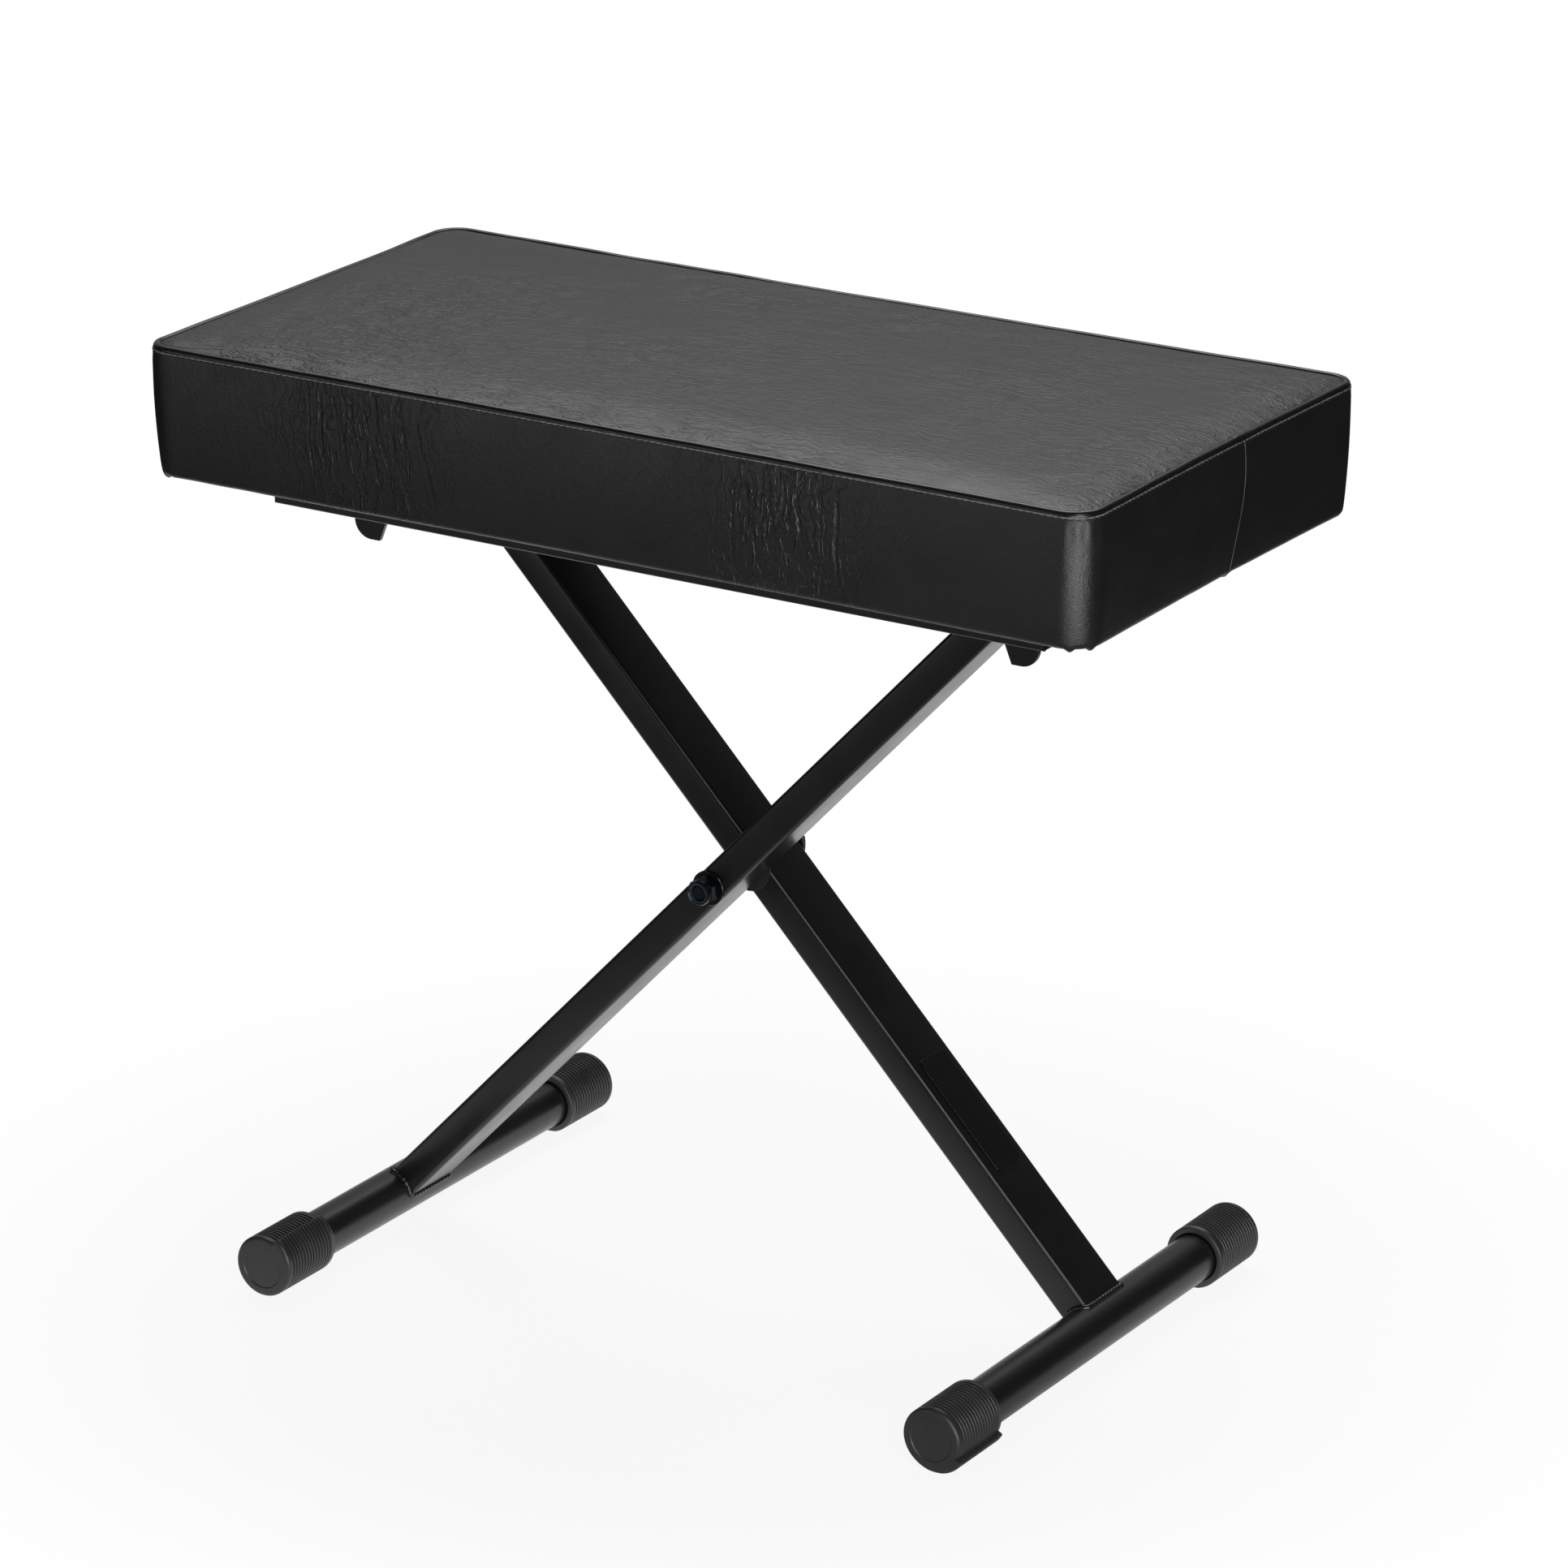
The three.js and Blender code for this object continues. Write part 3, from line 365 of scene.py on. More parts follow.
piping_vinyl = soft_plastic("smooth_vinyl_piping", "#0f0f10", "#141415", 0.3, 0.02, 0.8)
# The fold under the piping is the same black vinyl painted light grey, a painted highlight for the light its
# edge catches.
fold_painted_highlight = soft_plastic("fold_vinyl_painted_highlight", "#5a5a5c", "#848486", 0.35, 0.02, 0.8)
# The lapped seam's edge is the same vinyl painted lighter, a painted highlight along the side seam.
seam_edge_painted_highlight = soft_plastic("lapped_vinyl_painted_highlight", "#202021", "#3c3c3e", 0.4, 0.02, 0.8)
powder_coat = soft_plastic("satin_black_powder_coat", "#101011", "#131314", 0.3, 0.0012, 1.4)
cap_rubber = soft_plastic("moulded_black_rubber", "#232322", "#2c2c2b", 0.42, 0.01, 0.7)
black_zinc = soft_plastic("black_zinc_plating", "#26282c", "#34373c", 0.3, 0.01, 0.5, metallic=0.9)
blue_nylon = soft_plastic("locking_ring_nylon", "#1d2836", "#273445", 0.35, 0.01, 0.6)
black_nylon = soft_plastic("moulded_nylon", "#121214", "#19191b", 0.45, 0.02, 0.6)
label_film = soft_plastic("satin_label_film", "#0f0f10", "#121213", 0.26, 0.0005, 3.0)
raw_foam = soft_plastic("cut_polyurethane_foam", "#c9bd86", "#ddd3a2", 0.95, 0.5, 1.2, ior=1.3)
thread = soft_plastic("bonded_polyester_thread", "#1a1a1b", "#3a3a3b", 0.6, 0.05, 0.3)


def plywood_finish():
    """Poplar plywood: long grain along X in wood browns."""
    material, tree, shader, where = new_material("poplar_plywood", "#b08d5e", 0.7)
    along = add(tree, "Mapping", Vector=where, Scale=(0.05, 1, 1))
    rings = add(tree, "TexNoise", Vector=along.outputs[0], Scale=grain(4), Detail=5.0).outputs["Fac"]
    tone = add(tree, "Mix", RGBA, Factor=rings, _6=colour("#8f6c41"), _7=colour("#c9a877"))
    bump = add(tree, "Bump", Height=rings, Distance=0.2 * MM, Strength=0.5)
    feed(tree, shader, Base_Color=tone.outputs[2], Normal=bump.outputs[0])
    return material


def dust_cloth_finish():
    """Spun-bonded polypropylene: a thin black felt pressed in a grid of small dots about 1.5 mm apart."""
    material, tree, shader, where = new_material("spunbond_cloth", "#0f0f10", 0.9)
    dots = add(tree, "TexVoronoi", {"feature": "F1"}, Vector=where, Scale=grain(1.5), Randomness=0.15)
    fibre = add(tree, "TexNoise", Vector=where, Scale=grain(0.8), Detail=4.0).outputs["Fac"]
    pressed = add(tree, "Bump", Height=dots.outputs["Distance"], Distance=0.2 * MM, Strength=0.6)
    fuzz = add(tree, "Bump", Height=fibre, Distance=0.1 * MM, Normal=pressed.outputs[0])
    tone = add(tree, "Mix", RGBA, Factor=fibre, _6=colour("#0b0b0c"), _7=colour("#1c1c1d"))
    feed(tree, shader, Normal=fuzz.outputs[0], Base_Color=tone.outputs[2])
    return material


plywood = plywood_finish()
dust_cloth = dust_cloth_finish()
print("materials", len(bpy.data.materials))

# %% [markdown]
# ## The seat's outline
# Seen from above the seat is a rectangle with rounded corners whose sides pull in a little between the
# corners, because the cover is tightest there. One function gives points round it for any lengths.
# %% Seat outline
SEAT_CORNER = 18
LEAST_CORNER = 3
SIDE_PULL = 1.6
PIPING_RADIUS = 2.4
PIPING_INSET = 3.3
BAND_TOP = 0.7
straight = SEAT_HALF - SEAT_CORNER
CORNER_ARC = SEAT_CORNER * np.pi / 2
SIDES_MM = np.array([straight[1], CORNER_ARC, 2 * straight[0], CORNER_ARC, 2 * straight[1],
                     CORNER_ARC, 2 * straight[0], CORNER_ARC, straight[1]])
SEAT_LOOP = SIDES_MM.sum()


def seat_outline(length, inset=0.0, soften=0.0):
    """Points and outward normals at lengths round the seat, from the middle of its right end.

    Straight sides and quarter circles are laid end to end, and each side is pulled in by a half sine
    wave between its corners. An inset moves the line in: the corner's radius becomes
    max(R + soften - inset, 3 mm) and the sides between the corners shorten with it.
    """
    stops = np.concatenate([[0], np.cumsum(SIDES_MM)])
    part = np.clip(np.searchsorted(stops, length, side="right") - 1, 0, 8)
    share = (length - stops[part]) / SIDES_MM[part]
    turning = part % 2 == 1
    start = np.array([90, 90, 180, 180, 270, 270, 0, 0, 90])[part]
    heading = np.radians(start + np.where(turning, 90 * share, 0))
    normal = np.stack([np.sin(heading), -np.cos(heading)], -1)
    tangent = np.stack([np.cos(heading), np.sin(heading)], -1)
    inset = inset + 0.0 * length
    corner = np.maximum(SEAT_CORNER + soften - inset, LEAST_CORNER)[..., None]
    middle = SEAT_HALF - inset[..., None] - corner
    sign_x = np.array([1, 1, 1, -1, -1, -1, -1, 1, 1])[part]
    sign_y = np.array([0, 1, 1, 1, 1, -1, -1, -1, -1])[part]
    side = np.where(part % 4 == 2, 2 * middle[..., 0], np.where(part % 8 == 0, 1, 2) * middle[..., 1])
    along = (np.where(turning, 0, share) * side)[..., None]
    points = middle * np.stack([sign_x, sign_y], -1) + corner * normal + tangent * along
    across = np.where(part == 0, 0.5 + share / 2, np.where(part == 8, share / 2, share))
    pull = np.where(turning, 0, SIDE_PULL * np.sin(np.pi * np.clip(across, 0, 1)))
    return points - normal * pull[:, None], normal


def evenly(count):
    """Evenly spaced lengths round the seat."""
    return np.arange(count) * SEAT_LOOP / count


def bumps(length, total, seed, count, power=1.0):
    """A smooth random wave round a closed line: a sum of whole waves with seeded sizes and phases."""
    rng = np.random.default_rng(seed)
    waves = np.arange(1, count + 1)
    size = rng.normal(size=count) / waves ** power
    phase = rng.uniform(0, 2 * np.pi, count)
    wave = (size * np.sin(2 * np.pi * length[:, None] / total * waves + phase)).sum(1)
    return wave / np.abs(wave).max()


print("round the seat", round(float(SEAT_LOOP)), "mm")

# %% [markdown]
# ## The crown
# The top is cut flat and sewn to the band over crowned foam, so it rises quickly from the seam in a
# shoulder and is nearly level inside. The panel and the foam under it share this one height function.
# %% Crown height
PANEL_INSET = 3.6
SHOULDER_MM = 10.0
SHOULDER_SHARE = 0.7
CROWN_RISE = crown_top - seam_z - 1.4
SEAM_DIP = -0.6


def edge_distance(x, y):
    """Distance from a plan point to the seam line of a rounded rectangle, positive inside."""
    half, corner = SEAT_HALF - PANEL_INSET, SEAT_CORNER - PANEL_INSET
    over_x, over_y = np.abs(x) - half[0] + corner, np.abs(y) - half[1] + corner
    outside = np.hypot(np.clip(over_x, 0, None), np.clip(over_y, 0, None))
    return corner - outside - np.clip(np.maximum(over_x, over_y), None, 0)


def crown(x, y):
    """Height of the top: a shoulder 1 - e^(-d / 10 mm) from the seam, plus a slow product of parabolas."""
    into = np.clip(edge_distance(x, y), 0, None)
    slow = (1 - (x / SEAT_HALF[0]) ** 2) * (1 - (y / SEAT_HALF[1]) ** 2)
    share = SHOULDER_SHARE * (1 - np.exp(-into / SHOULDER_MM)) + (1 - SHOULDER_SHARE) * np.clip(slow, 0, 1)
    return seam_z - SEAM_DIP + (CROWN_RISE + SEAM_DIP) * share


print("crown in the middle", round(float(crown(np.zeros(1), np.zeros(1))[0]), 1))

# %% [markdown]
# ## The foam
# The core is a slab of cut foam that fills the cover. It is a closed form: rings of the seat's outline
# run from the middle of its underside, out, up its side and back over the crown to the middle.
# %% Foam core
board_top = box_mm("seat_board")[1][2]
FOAM_COLUMNS = 360
FOAM_GAP = 0.3
FOAM_INSET = 7.0
FOAM_BULGE = 1.0
FOAM_CLEAR = 1.9
FOAM_EDGE = 7.6
foam_run = evenly(FOAM_COLUMNS)
rings = []
for share in np.linspace(0, 0.96, 8):
    plan = seat_outline(foam_run)[0] * share
    rings.append(np.column_stack([plan, np.full(FOAM_COLUMNS, board_top + FOAM_GAP)]))
for rise in np.linspace(0, 1, 12):
    plan = seat_outline(foam_run, FOAM_INSET - FOAM_BULGE * np.sin(np.pi * rise))[0]
    height = board_top + FOAM_GAP + rise * (seam_z - FOAM_EDGE - board_top)
    rings.append(np.column_stack([plan, np.full(FOAM_COLUMNS, height)]))
for share in np.concatenate([[0.985, 0.97, 0.95, 0.92], np.linspace(0.88, 0, 24)]):
    plan = seat_outline(foam_run, FOAM_INSET)[0] * share
    rings.append(np.column_stack([plan, crown(*plan.T) - FOAM_CLEAR]))
foam_faces = grid_quads(len(rings), FOAM_COLUMNS, wrap_columns=True)
foam = put_mesh("foam_core", rings, foam_faces, raw_foam, "seat", ("seat_foam",), "foam")
print("foam", len(foam.data.polygons), "faces")

# %% [markdown]
# ## The side band
# The band round the cushion is called the boxing. It bulges slightly over the foam and is pulled under
# the board, where the corners gather into small pleats. It is one sheet, so its shape is a profile of
# inset and height carried round the seat, and Solidify then gives it the vinyl's thickness inwards.
# Columns stand closer together where a feature needs them: the front's creases, corners and seam.
# %% Boxing profile
VINYL_THICKNESS = 1.1
BAND_INSET = 0.7
BAND_TAPER = 1.5
BAND_ROLL = 0.9
BAND_BULGE = 1.5
BAND_SOFTEN = 3.0
BAND_HANG = 5.0
BOTTOM_ROUND = 3.5
HEM_WIDTH = 21
HEM_RISE_SHARE = 0.3
HEM_CLEAR = 0.6
SIDE_SEAM = 20.0
SIDE_SEAM_LEAN = 9.5


def band_profile():
    """Inset and height of the band's rows, with shares down its face and under its hem, each from 0 to 1.

    Its top edge folds in against the piping's lower half. It hangs below the board as a soft roll, and
    its hem climbs back to the board's underside by 3 s^2 - 2 s^3 over the first part of the hem's width.
    """
    roll = np.linspace(0, np.pi / 2, 4)
    roll_inset = BAND_INSET + BAND_ROLL * (1 - np.sin(roll))
    roll_z = seam_z - BAND_TOP - BAND_ROLL * (1 - np.cos(roll))
    down = np.linspace(0, 1, 27)[1:]
    bottom = hem_z + HEM_CLEAR - BAND_HANG + BOTTOM_ROUND
    face_inset = BAND_INSET + BAND_TAPER * down - BAND_BULGE * np.sin(np.pi * down) ** 0.8
    face_z = roll_z[-1] + (bottom - roll_z[-1]) * down
    under = np.linspace(0, np.pi / 2, 5)[1:]
    hem = np.concatenate([np.linspace(0, HEM_RISE_SHARE, 6)[1:], np.linspace(HEM_RISE_SHARE, 1, 4)[1:]])
    climb = np.clip(hem / HEM_RISE_SHARE, 0, 1)
    inset = np.concatenate([roll_inset, face_inset, face_inset[-1] + BOTTOM_ROUND * (1 - np.cos(under)),
                            face_inset[-1] + BOTTOM_ROUND + HEM_WIDTH * hem])
    hem_heights = hem_z + HEM_CLEAR - BAND_HANG * (1 - climb ** 2 * (3 - 2 * climb))
    z = np.concatenate([roll_z, face_z, bottom - BOTTOM_ROUND * np.sin(under), hem_heights])
    down_share = np.concatenate([0 * roll, down, 1 + 0 * under, 1 + 0 * hem])
    under_share = np.concatenate([0 * roll, 0 * down, under / under[-1], 1 + 0 * hem])
    hem_share = np.concatenate([0 * roll, 0 * down, 0 * under, hem])
    return inset, z, down_share, under_share, hem_share


def band_lengths():
    """Lengths round the seat, 3 mm apart, closer at the corners, in the creased front and at the seam."""
    fine = np.linspace(0, SEAT_LOOP, 20001)
    place_on, facing_out = seat_outline(fine)
    beside_creases = np.min(np.abs(place_on[:, :1] - np.array(CREASE_PLACES_MM)), 1)
    beside_seam = np.abs(place_on[:, 1] - SIDE_SEAM + SIDE_SEAM_LEAN / 2)
    spacing = np.select(
        [(facing_out[:, 0] > 0.9) & (beside_seam < 12), (facing_out[:, 1] < -0.9) & (beside_creases < 50),
         np.abs(facing_out).max(1) < 0.99],
        [0.5, 0.65, 1.3], 3.0)
    density = 1 / spacing
    count = np.concatenate([[0], np.cumsum((density[1:] + density[:-1]) / 2 * np.diff(fine))])
    return np.interp(np.linspace(0, count[-1], int(count[-1]), endpoint=False), count, fine)


# %% [markdown]
# Creases are valleys that wander down the band. Each is a line x(t) with its own lean and wave, and the
# sheet moves in by a narrow bell curve of the distance to it, with a soft lip on either side.
# %% Creases
CREASE_GROUPS = ((72, 10, 7), (66, 8, 21))  # spread, count and seed at each of the two places
CREASE_WIDTH = 1.0
CREASE_DEPTH = 0.5


def creases_on(x, down):
    """Inward movement at a place across the front: bell curves round seeded wandering lines."""
    moved = np.zeros(np.broadcast(x, down).shape)
    for middle, (spread, count, seed) in zip(CREASE_PLACES_MM, CREASE_GROUPS):
        rng = np.random.default_rng(seed)
        for k in range(count):
            start = middle + spread * ((k + rng.uniform(-0.3, 0.3)) / (count - 1) - 0.5)
            lean = rng.uniform(2, 16) * (0.4 + k / count)
            wave, phase = rng.uniform(0.8, 2.0), rng.uniform(0, 6.3)
            line = (start + lean * down ** 1.6 + wave * np.sin(5 * down + phase)
                    + 0.25 * np.sin(17 * down + 2 * phase))
            first, last = rng.uniform(0.0, 0.15), rng.uniform(0.55, 1.0)
            reach = np.clip((down - first) / 0.12, 0, 1) * np.clip((last - down) / 0.2, 0, 1)
            away = (x - line) / (CREASE_WIDTH * rng.uniform(0.7, 1.3))
            valley = np.exp(-away ** 2) - 0.45 * np.exp(-((np.abs(away) - 1.9) ** 2))
            moved += reach * CREASE_DEPTH * rng.uniform(0.5, 1.2) * valley
    return moved


# %% [markdown]
# The pleats at the corners come from too much sheet for the hem's shorter path, so they deepen under
# the edge and hang a few millimetres. The band's own two ends meet in a lapped seam on the right.
# %% Boxing mesh
SOFT_ANGLE = 70
PLEAT_DEPTH = 2.6
PLEAT_PITCH = 13.0
CORNER_PUCKER = 0.45
PUCKER_PITCH = 7.0
FACE_SWAY = 0.5
HEM_SWAY = 0.8
LAP = 0.8
LAP_FADE = 14
LAP_STEP = 0.7
LAP_LIP = 0.5
LAP_DROP = 1.6
BAND_MIDDLE = (0, 0, seam_z - 30)

inset, z_rows, down_share, under_share, hem_share = band_profile()
length = band_lengths()
outline, outward = seat_outline(length)
corner_near = np.clip(1 - np.abs(np.abs(outward[:, 0]) - np.abs(outward[:, 1])), 0, 1) ** 0.5
wavy = bumps(length, SEAT_LOOP, 3, 60, 0.5)
sway = bumps(length, SEAT_LOOP, 8, 24, 0.6)
pleats = np.clip(np.sin(2 * np.pi * length / PLEAT_PITCH + 2.0 * wavy), 0, 1) ** 1.4
hang = PLEAT_DEPTH * pleats * corner_near + 0.3 * (1 + wavy)
move_in = -FACE_SWAY * np.sin(np.pi * down_share)[:, None] * sway[None]
gathered = corner_near * np.sin(2 * np.pi * length / PUCKER_PITCH + 3.0 * wavy)
near_top = np.exp(-down_share * 6) * np.clip(down_share * 12, 0, 1)
move_in = move_in + CORNER_PUCKER * near_top[:, None] * gathered[None]
move_in = move_in + under_share[:, None] * HEM_SWAY * corner_near[None] * wavy[None]
on_front = np.clip((-outward[:, 1] - 0.9) / 0.1, 0, 1)
front_creases = creases_on(outline[None, :, 0], down_share[:, None])
move_in = move_in + on_front[None] * front_creases * (1 - under_share[:, None])
seam_line = SIDE_SEAM - SIDE_SEAM_LEAN * down_share ** 1.6 + 1.6 * np.sin(1.6 * np.pi * down_share)
past_seam = (outline[None, :, 1] - seam_line[:, None]) / LAP_STEP
on_right = (outward[:, 0] > 0.9)[None]
lap = LAP * (0.5 + 0.5 * np.tanh(past_seam)) * np.exp(-np.clip(past_seam, 0, None) / LAP_FADE)
move_in = move_in + on_right * lap + on_right * LAP_LIP * np.exp(-past_seam ** 2)
rows = inset[:, None] + move_in
drop = np.sin(np.pi / 2 * under_share)[:, None] * hang[None] * (1 - 0.85 * hem_share[:, None])
seam_foot = LAP_DROP * on_right * np.exp(-(past_seam / 5) ** 2) * under_share[:, None]
seam_foot = seam_foot * (1 - hem_share[:, None])
softer = BAND_SOFTEN * np.sin(np.pi / 2 * down_share)[:, None]
plan = seat_outline(length, rows, softer)[0]
points = np.stack([plan[..., 0], plan[..., 1], z_rows[:, None] - drop - seam_foot], -1)
band_faces = grid_quads(len(z_rows), len(length), wrap_columns=True)
band = put_mesh("cover_side_band", points, band_faces, side_vinyl, "seat", ("cover_boxing",), "cover_vinyl",
                closed=False, smooth=SOFT_ANGLE)


def thicken(piece, thickness):
    """Solidify inwards, which closes a sheet into a skin of real thickness."""
    skin = piece.modifiers.new("thickness", "SOLIDIFY")
    skin.thickness = thickness * MM
    skin.offset = -1


def leaning_out(piece, axis_points):
    """Share of faces whose normals point away from a place, as a test of which way a sheet faces."""
    count = len(piece.data.polygons)
    normals, centres = np.empty(count * 3), np.empty(count * 3)
    piece.data.polygons.foreach_get("normal", normals)
    piece.data.polygons.foreach_get("center", centres)
    away = centres.reshape(-1, 3) / MM - axis_points
    return float((np.einsum("ij,ij->i", normals.reshape(-1, 3), away) > 0).mean())


if leaning_out(band, BAND_MIDDLE) < 0.5:
    band.data.flip_normals()
thicken(band, VINYL_THICKNESS)
print("side band", len(band.data.polygons), "faces, outwards", round(leaning_out(band, BAND_MIDDLE), 2))

# %% [markdown]
# The upper ply of the lapped seam ends in a folded edge, a thin line from the piping to the hem, painted
# lighter than the band as a painted highlight along the seam. Its path is the band's own outline at the seam's
# place in each row.
# %% Side seam edge
SEAM_EDGE_RADIUS = 0.4
seam_rows = np.flatnonzero(under_share < 0.3)[2:]
seam_plan = seat_outline(seam_line[seam_rows], inset[seam_rows] + 0.15)[0]
seam_path = np.column_stack([seam_plan, z_rows[seam_rows]])
edge_points, edge_faces = carried(seam_path, (0, 1, 0), (1, 0, 0), circle(SEAM_EDGE_RADIUS, 8), closed=False)
put_mesh("side_seam_edge", edge_points, edge_faces, seam_edge_painted_highlight, "seat", slot="cover_vinyl", smooth=SOFT_ANGLE)
print("side seam", round(float(np.ptp(seam_path[:, 2])), 1), "mm high")

# %% [markdown]
# ## The top panel
# A square grid is pushed into the rounded outline: inside each corner square the point (s, t) moves to
# (s sqrt(1 - t^2/2), t sqrt(1 - s^2/2)), which turns the square's edge into an arc. A cloth simulation
# then lets a slightly oversized panel settle over the crown. It is held at the seam and pressed from
# below, as sewn vinyl is over foam, so it puckers at the seam and pulls smooth inside.
# %% Top panel grid
COARSE = (124, 62)
FINE = (300, 150)


def top_grid(steps):
    """The panel's plan points: a rectangle whose corners are rounded by the square-to-disc map."""
    half, corner = SEAT_HALF - PANEL_INSET, SEAT_CORNER - PANEL_INSET
    x, y = np.meshgrid(*(np.linspace(-half[k], half[k], steps[k]) for k in (0, 1)), indexing="ij")
    s = np.clip((np.abs(x) - half[0] + corner) / corner, 0, 1)
    t = np.clip((np.abs(y) - half[1] + corner) / corner, 0, 1)
    inside = (s > 0) & (t > 0)
    new_x = np.where(inside, np.sign(x) * (half[0] - corner + corner * s * np.sqrt(1 - t ** 2 / 2)), x)
    new_y = np.where(inside, np.sign(y) * (half[1] - corner + corner * t * np.sqrt(1 - s ** 2 / 2)), y)
    pull_y = SIDE_PULL * np.cos(np.pi / 2 * np.clip(x / (half[0] - corner), -1, 1)) * (np.abs(y) / half[1]) ** 6
    pull_x = SIDE_PULL * np.cos(np.pi / 2 * np.clip(y / (half[1] - corner), -1, 1)) * (np.abs(x) / half[0]) ** 6
    return new_x - np.sign(x) * pull_x, new_y - np.sign(y) * pull_y


# %% [markdown]
# The simulation runs on a coarse copy for 20 frames without gravity. How far each point moved is
# limited and its shortest waves are calmed, and only the change in height goes to the fine grid.
# %% Cloth
CLOTH_FRAMES = 20
CLOTH_PRESSURE = 4.0
CLOTH_SLACK = 0.004
CLOTH_CAP = 1.6


def settle(x, y, z):
    """Movement of the panel's points in a cloth simulation with a held edge, capped, in millimetres."""
    points, faces = np.stack([x, y, z], -1), grid_quads(*x.shape)[:, ::-1]
    sheet = put_mesh("settling_panel", points, faces, top_vinyl, "seat", closed=False)
    edge = np.zeros(x.shape, bool)
    edge[0], edge[-1], edge[:, 0], edge[:, -1] = True, True, True, True
    held = sheet.vertex_groups.new(name="seam")
    held.add(np.flatnonzero(edge).tolist(), 1.0, "REPLACE")
    cloth = sheet.modifiers.new("settle", "CLOTH")
    cloth.settings.quality = 5
    cloth.settings.mass = 0.3
    cloth.settings.vertex_group_mass = "seam"
    cloth.settings.use_pressure = True
    cloth.settings.uniform_pressure_force = CLOTH_PRESSURE
    cloth.settings.shrink_min = -CLOTH_SLACK
    cloth.settings.tension_stiffness = 40
    cloth.settings.compression_stiffness = 30
    cloth.settings.bending_stiffness = 0.6
    cloth.settings.effector_weights.gravity = 0
    cloth.point_cache.frame_start, cloth.point_cache.frame_end = 1, CLOTH_FRAMES
    before = np.empty(x.size * 3)
    sheet.data.vertices.foreach_get("co", before)
    for step in range(1, CLOTH_FRAMES + 1):
        bpy.context.scene.frame_set(step)
    shown = sheet.evaluated_get(bpy.context.evaluated_depsgraph_get())
    after = np.empty(x.size * 3)
    shown.data.vertices.foreach_get("co", after)
    moved = ((after - before) / MM).reshape(*x.shape, 3)
    size = np.linalg.norm(moved, axis=-1, keepdims=True)
    bpy.data.objects.remove(sheet)
    bpy.context.scene.frame_set(1)
    print("cloth moved up to", round(float(size.max()), 2), "mm, capped at", CLOTH_CAP)
    return moved * np.minimum(1, CLOTH_CAP / np.maximum(size, 1e-9))


def calmed(values, times=8):
    """Each value averaged with its four neighbours, again and again, which takes out the shortest waves."""
    for _ in range(times):
        wide = np.pad(values, 1, mode="edge")
        beside = wide[:-2, 1:-1] + wide[2:, 1:-1] + wide[1:-1, :-2] + wide[1:-1, 2:]
        values = values / 2 + beside / 8
    return values


def finer(values, steps):
    """A coarse grid's values on a finer one, linear along each direction in turn."""
    old = [np.linspace(0, 1, n) for n in values.shape]
    first = np.stack([np.interp(np.linspace(0, 1, steps[0]), old[0], column) for column in values.T], -1)
    return np.stack([np.interp(np.linspace(0, 1, steps[1]), old[1], row) for row in first])


# %% [markdown]
# Stitching draws the panel's edge into small puckers that die out within a centimetre. They are added
# on the fine grid, as a wave along the seam with a wandering phase.
# %% Top panel mesh
STITCH_PUCKERS = 95
STITCH_DEPTH = 0.2
STITCH_FADE = 7

top_x, top_y = top_grid(FINE)
top_z = crown(top_x, top_y)
coarse_x, coarse_y = top_grid(COARSE)
moved = settle(coarse_x, coarse_y, crown(coarse_x, coarse_y))
top_z = top_z + finer(calmed(moved[..., 2]), FINE)
into = np.clip(edge_distance(top_x, top_y), 0, None)
around_share = np.arctan2(top_y * SEAT_HALF[0] / SEAT_HALF[1], top_x)
pucker = np.sin(around_share * STITCH_PUCKERS + 3 * np.sin(around_share * 7))
pucker = pucker * (0.6 + 0.4 * np.sin(around_share * 11))
top_z = top_z + STITCH_DEPTH * pucker * np.exp(-into / STITCH_FADE) * (1 - np.exp(-into / 2))
top = put_mesh("cover_top", np.stack([top_x, top_y, top_z], -1), grid_quads(*FINE)[:, ::-1], top_vinyl, "seat",
               ("cover_top_panel",), "cover_vinyl", closed=False, smooth=SOFT_ANGLE)
thicken(top, VINYL_THICKNESS)
print("top panel", len(top.data.polygons), "faces, highest", round(float(top_z.max()), 1))

# %% [markdown]
# ## The piping
# Piping is a cord in a folded strip, sewn in the seam. It follows the outline with a slight hand-made
# waver, and its ends overlap on the right, where the band's own seam comes up.
# %% Piping
UP = (0.0, 0.0, 1.0)
PIPING_COLUMNS = 900
JOIN_LENGTH = 15.0
JOIN_SWELL = 0.14
SIDE_WAVER = 0.25
HEIGHT_WAVER = 0.45


def round_seat(name, run, inset_mm, heights, radius, ring_count, material, nodes=()):
    """A round bead carried round the seat: a circle in the plane of the outward normal and the Z axis."""
    line, away = seat_outline(run)
    path = np.column_stack([line - away * inset_mm[:, None], heights])
    side = np.column_stack([away, 0 * run])
    points, faces = carried(path, side, UP, circle(1.0, ring_count), size=radius)
    return put_mesh(name, points, faces, material, "seat", nodes, "piping", smooth=SOFT_ANGLE)


run = evenly(PIPING_COLUMNS)
waver = bumps(run, SEAT_LOOP, 5, 40, 0.5)
from_join = (run - SIDE_SEAM + SEAT_LOOP / 2) % SEAT_LOOP - SEAT_LOOP / 2
swell = 1 + JOIN_SWELL * np.clip((JOIN_LENGTH / 2 - np.abs(from_join)) / 1.5, 0, 1)
lift = seam_z + HEIGHT_WAVER * np.roll(waver, 60)
piping = round_seat("piping", run, PIPING_INSET - SIDE_WAVER * waver, lift, PIPING_RADIUS * swell, 14,
                    piping_vinyl, ("cover_piping",))

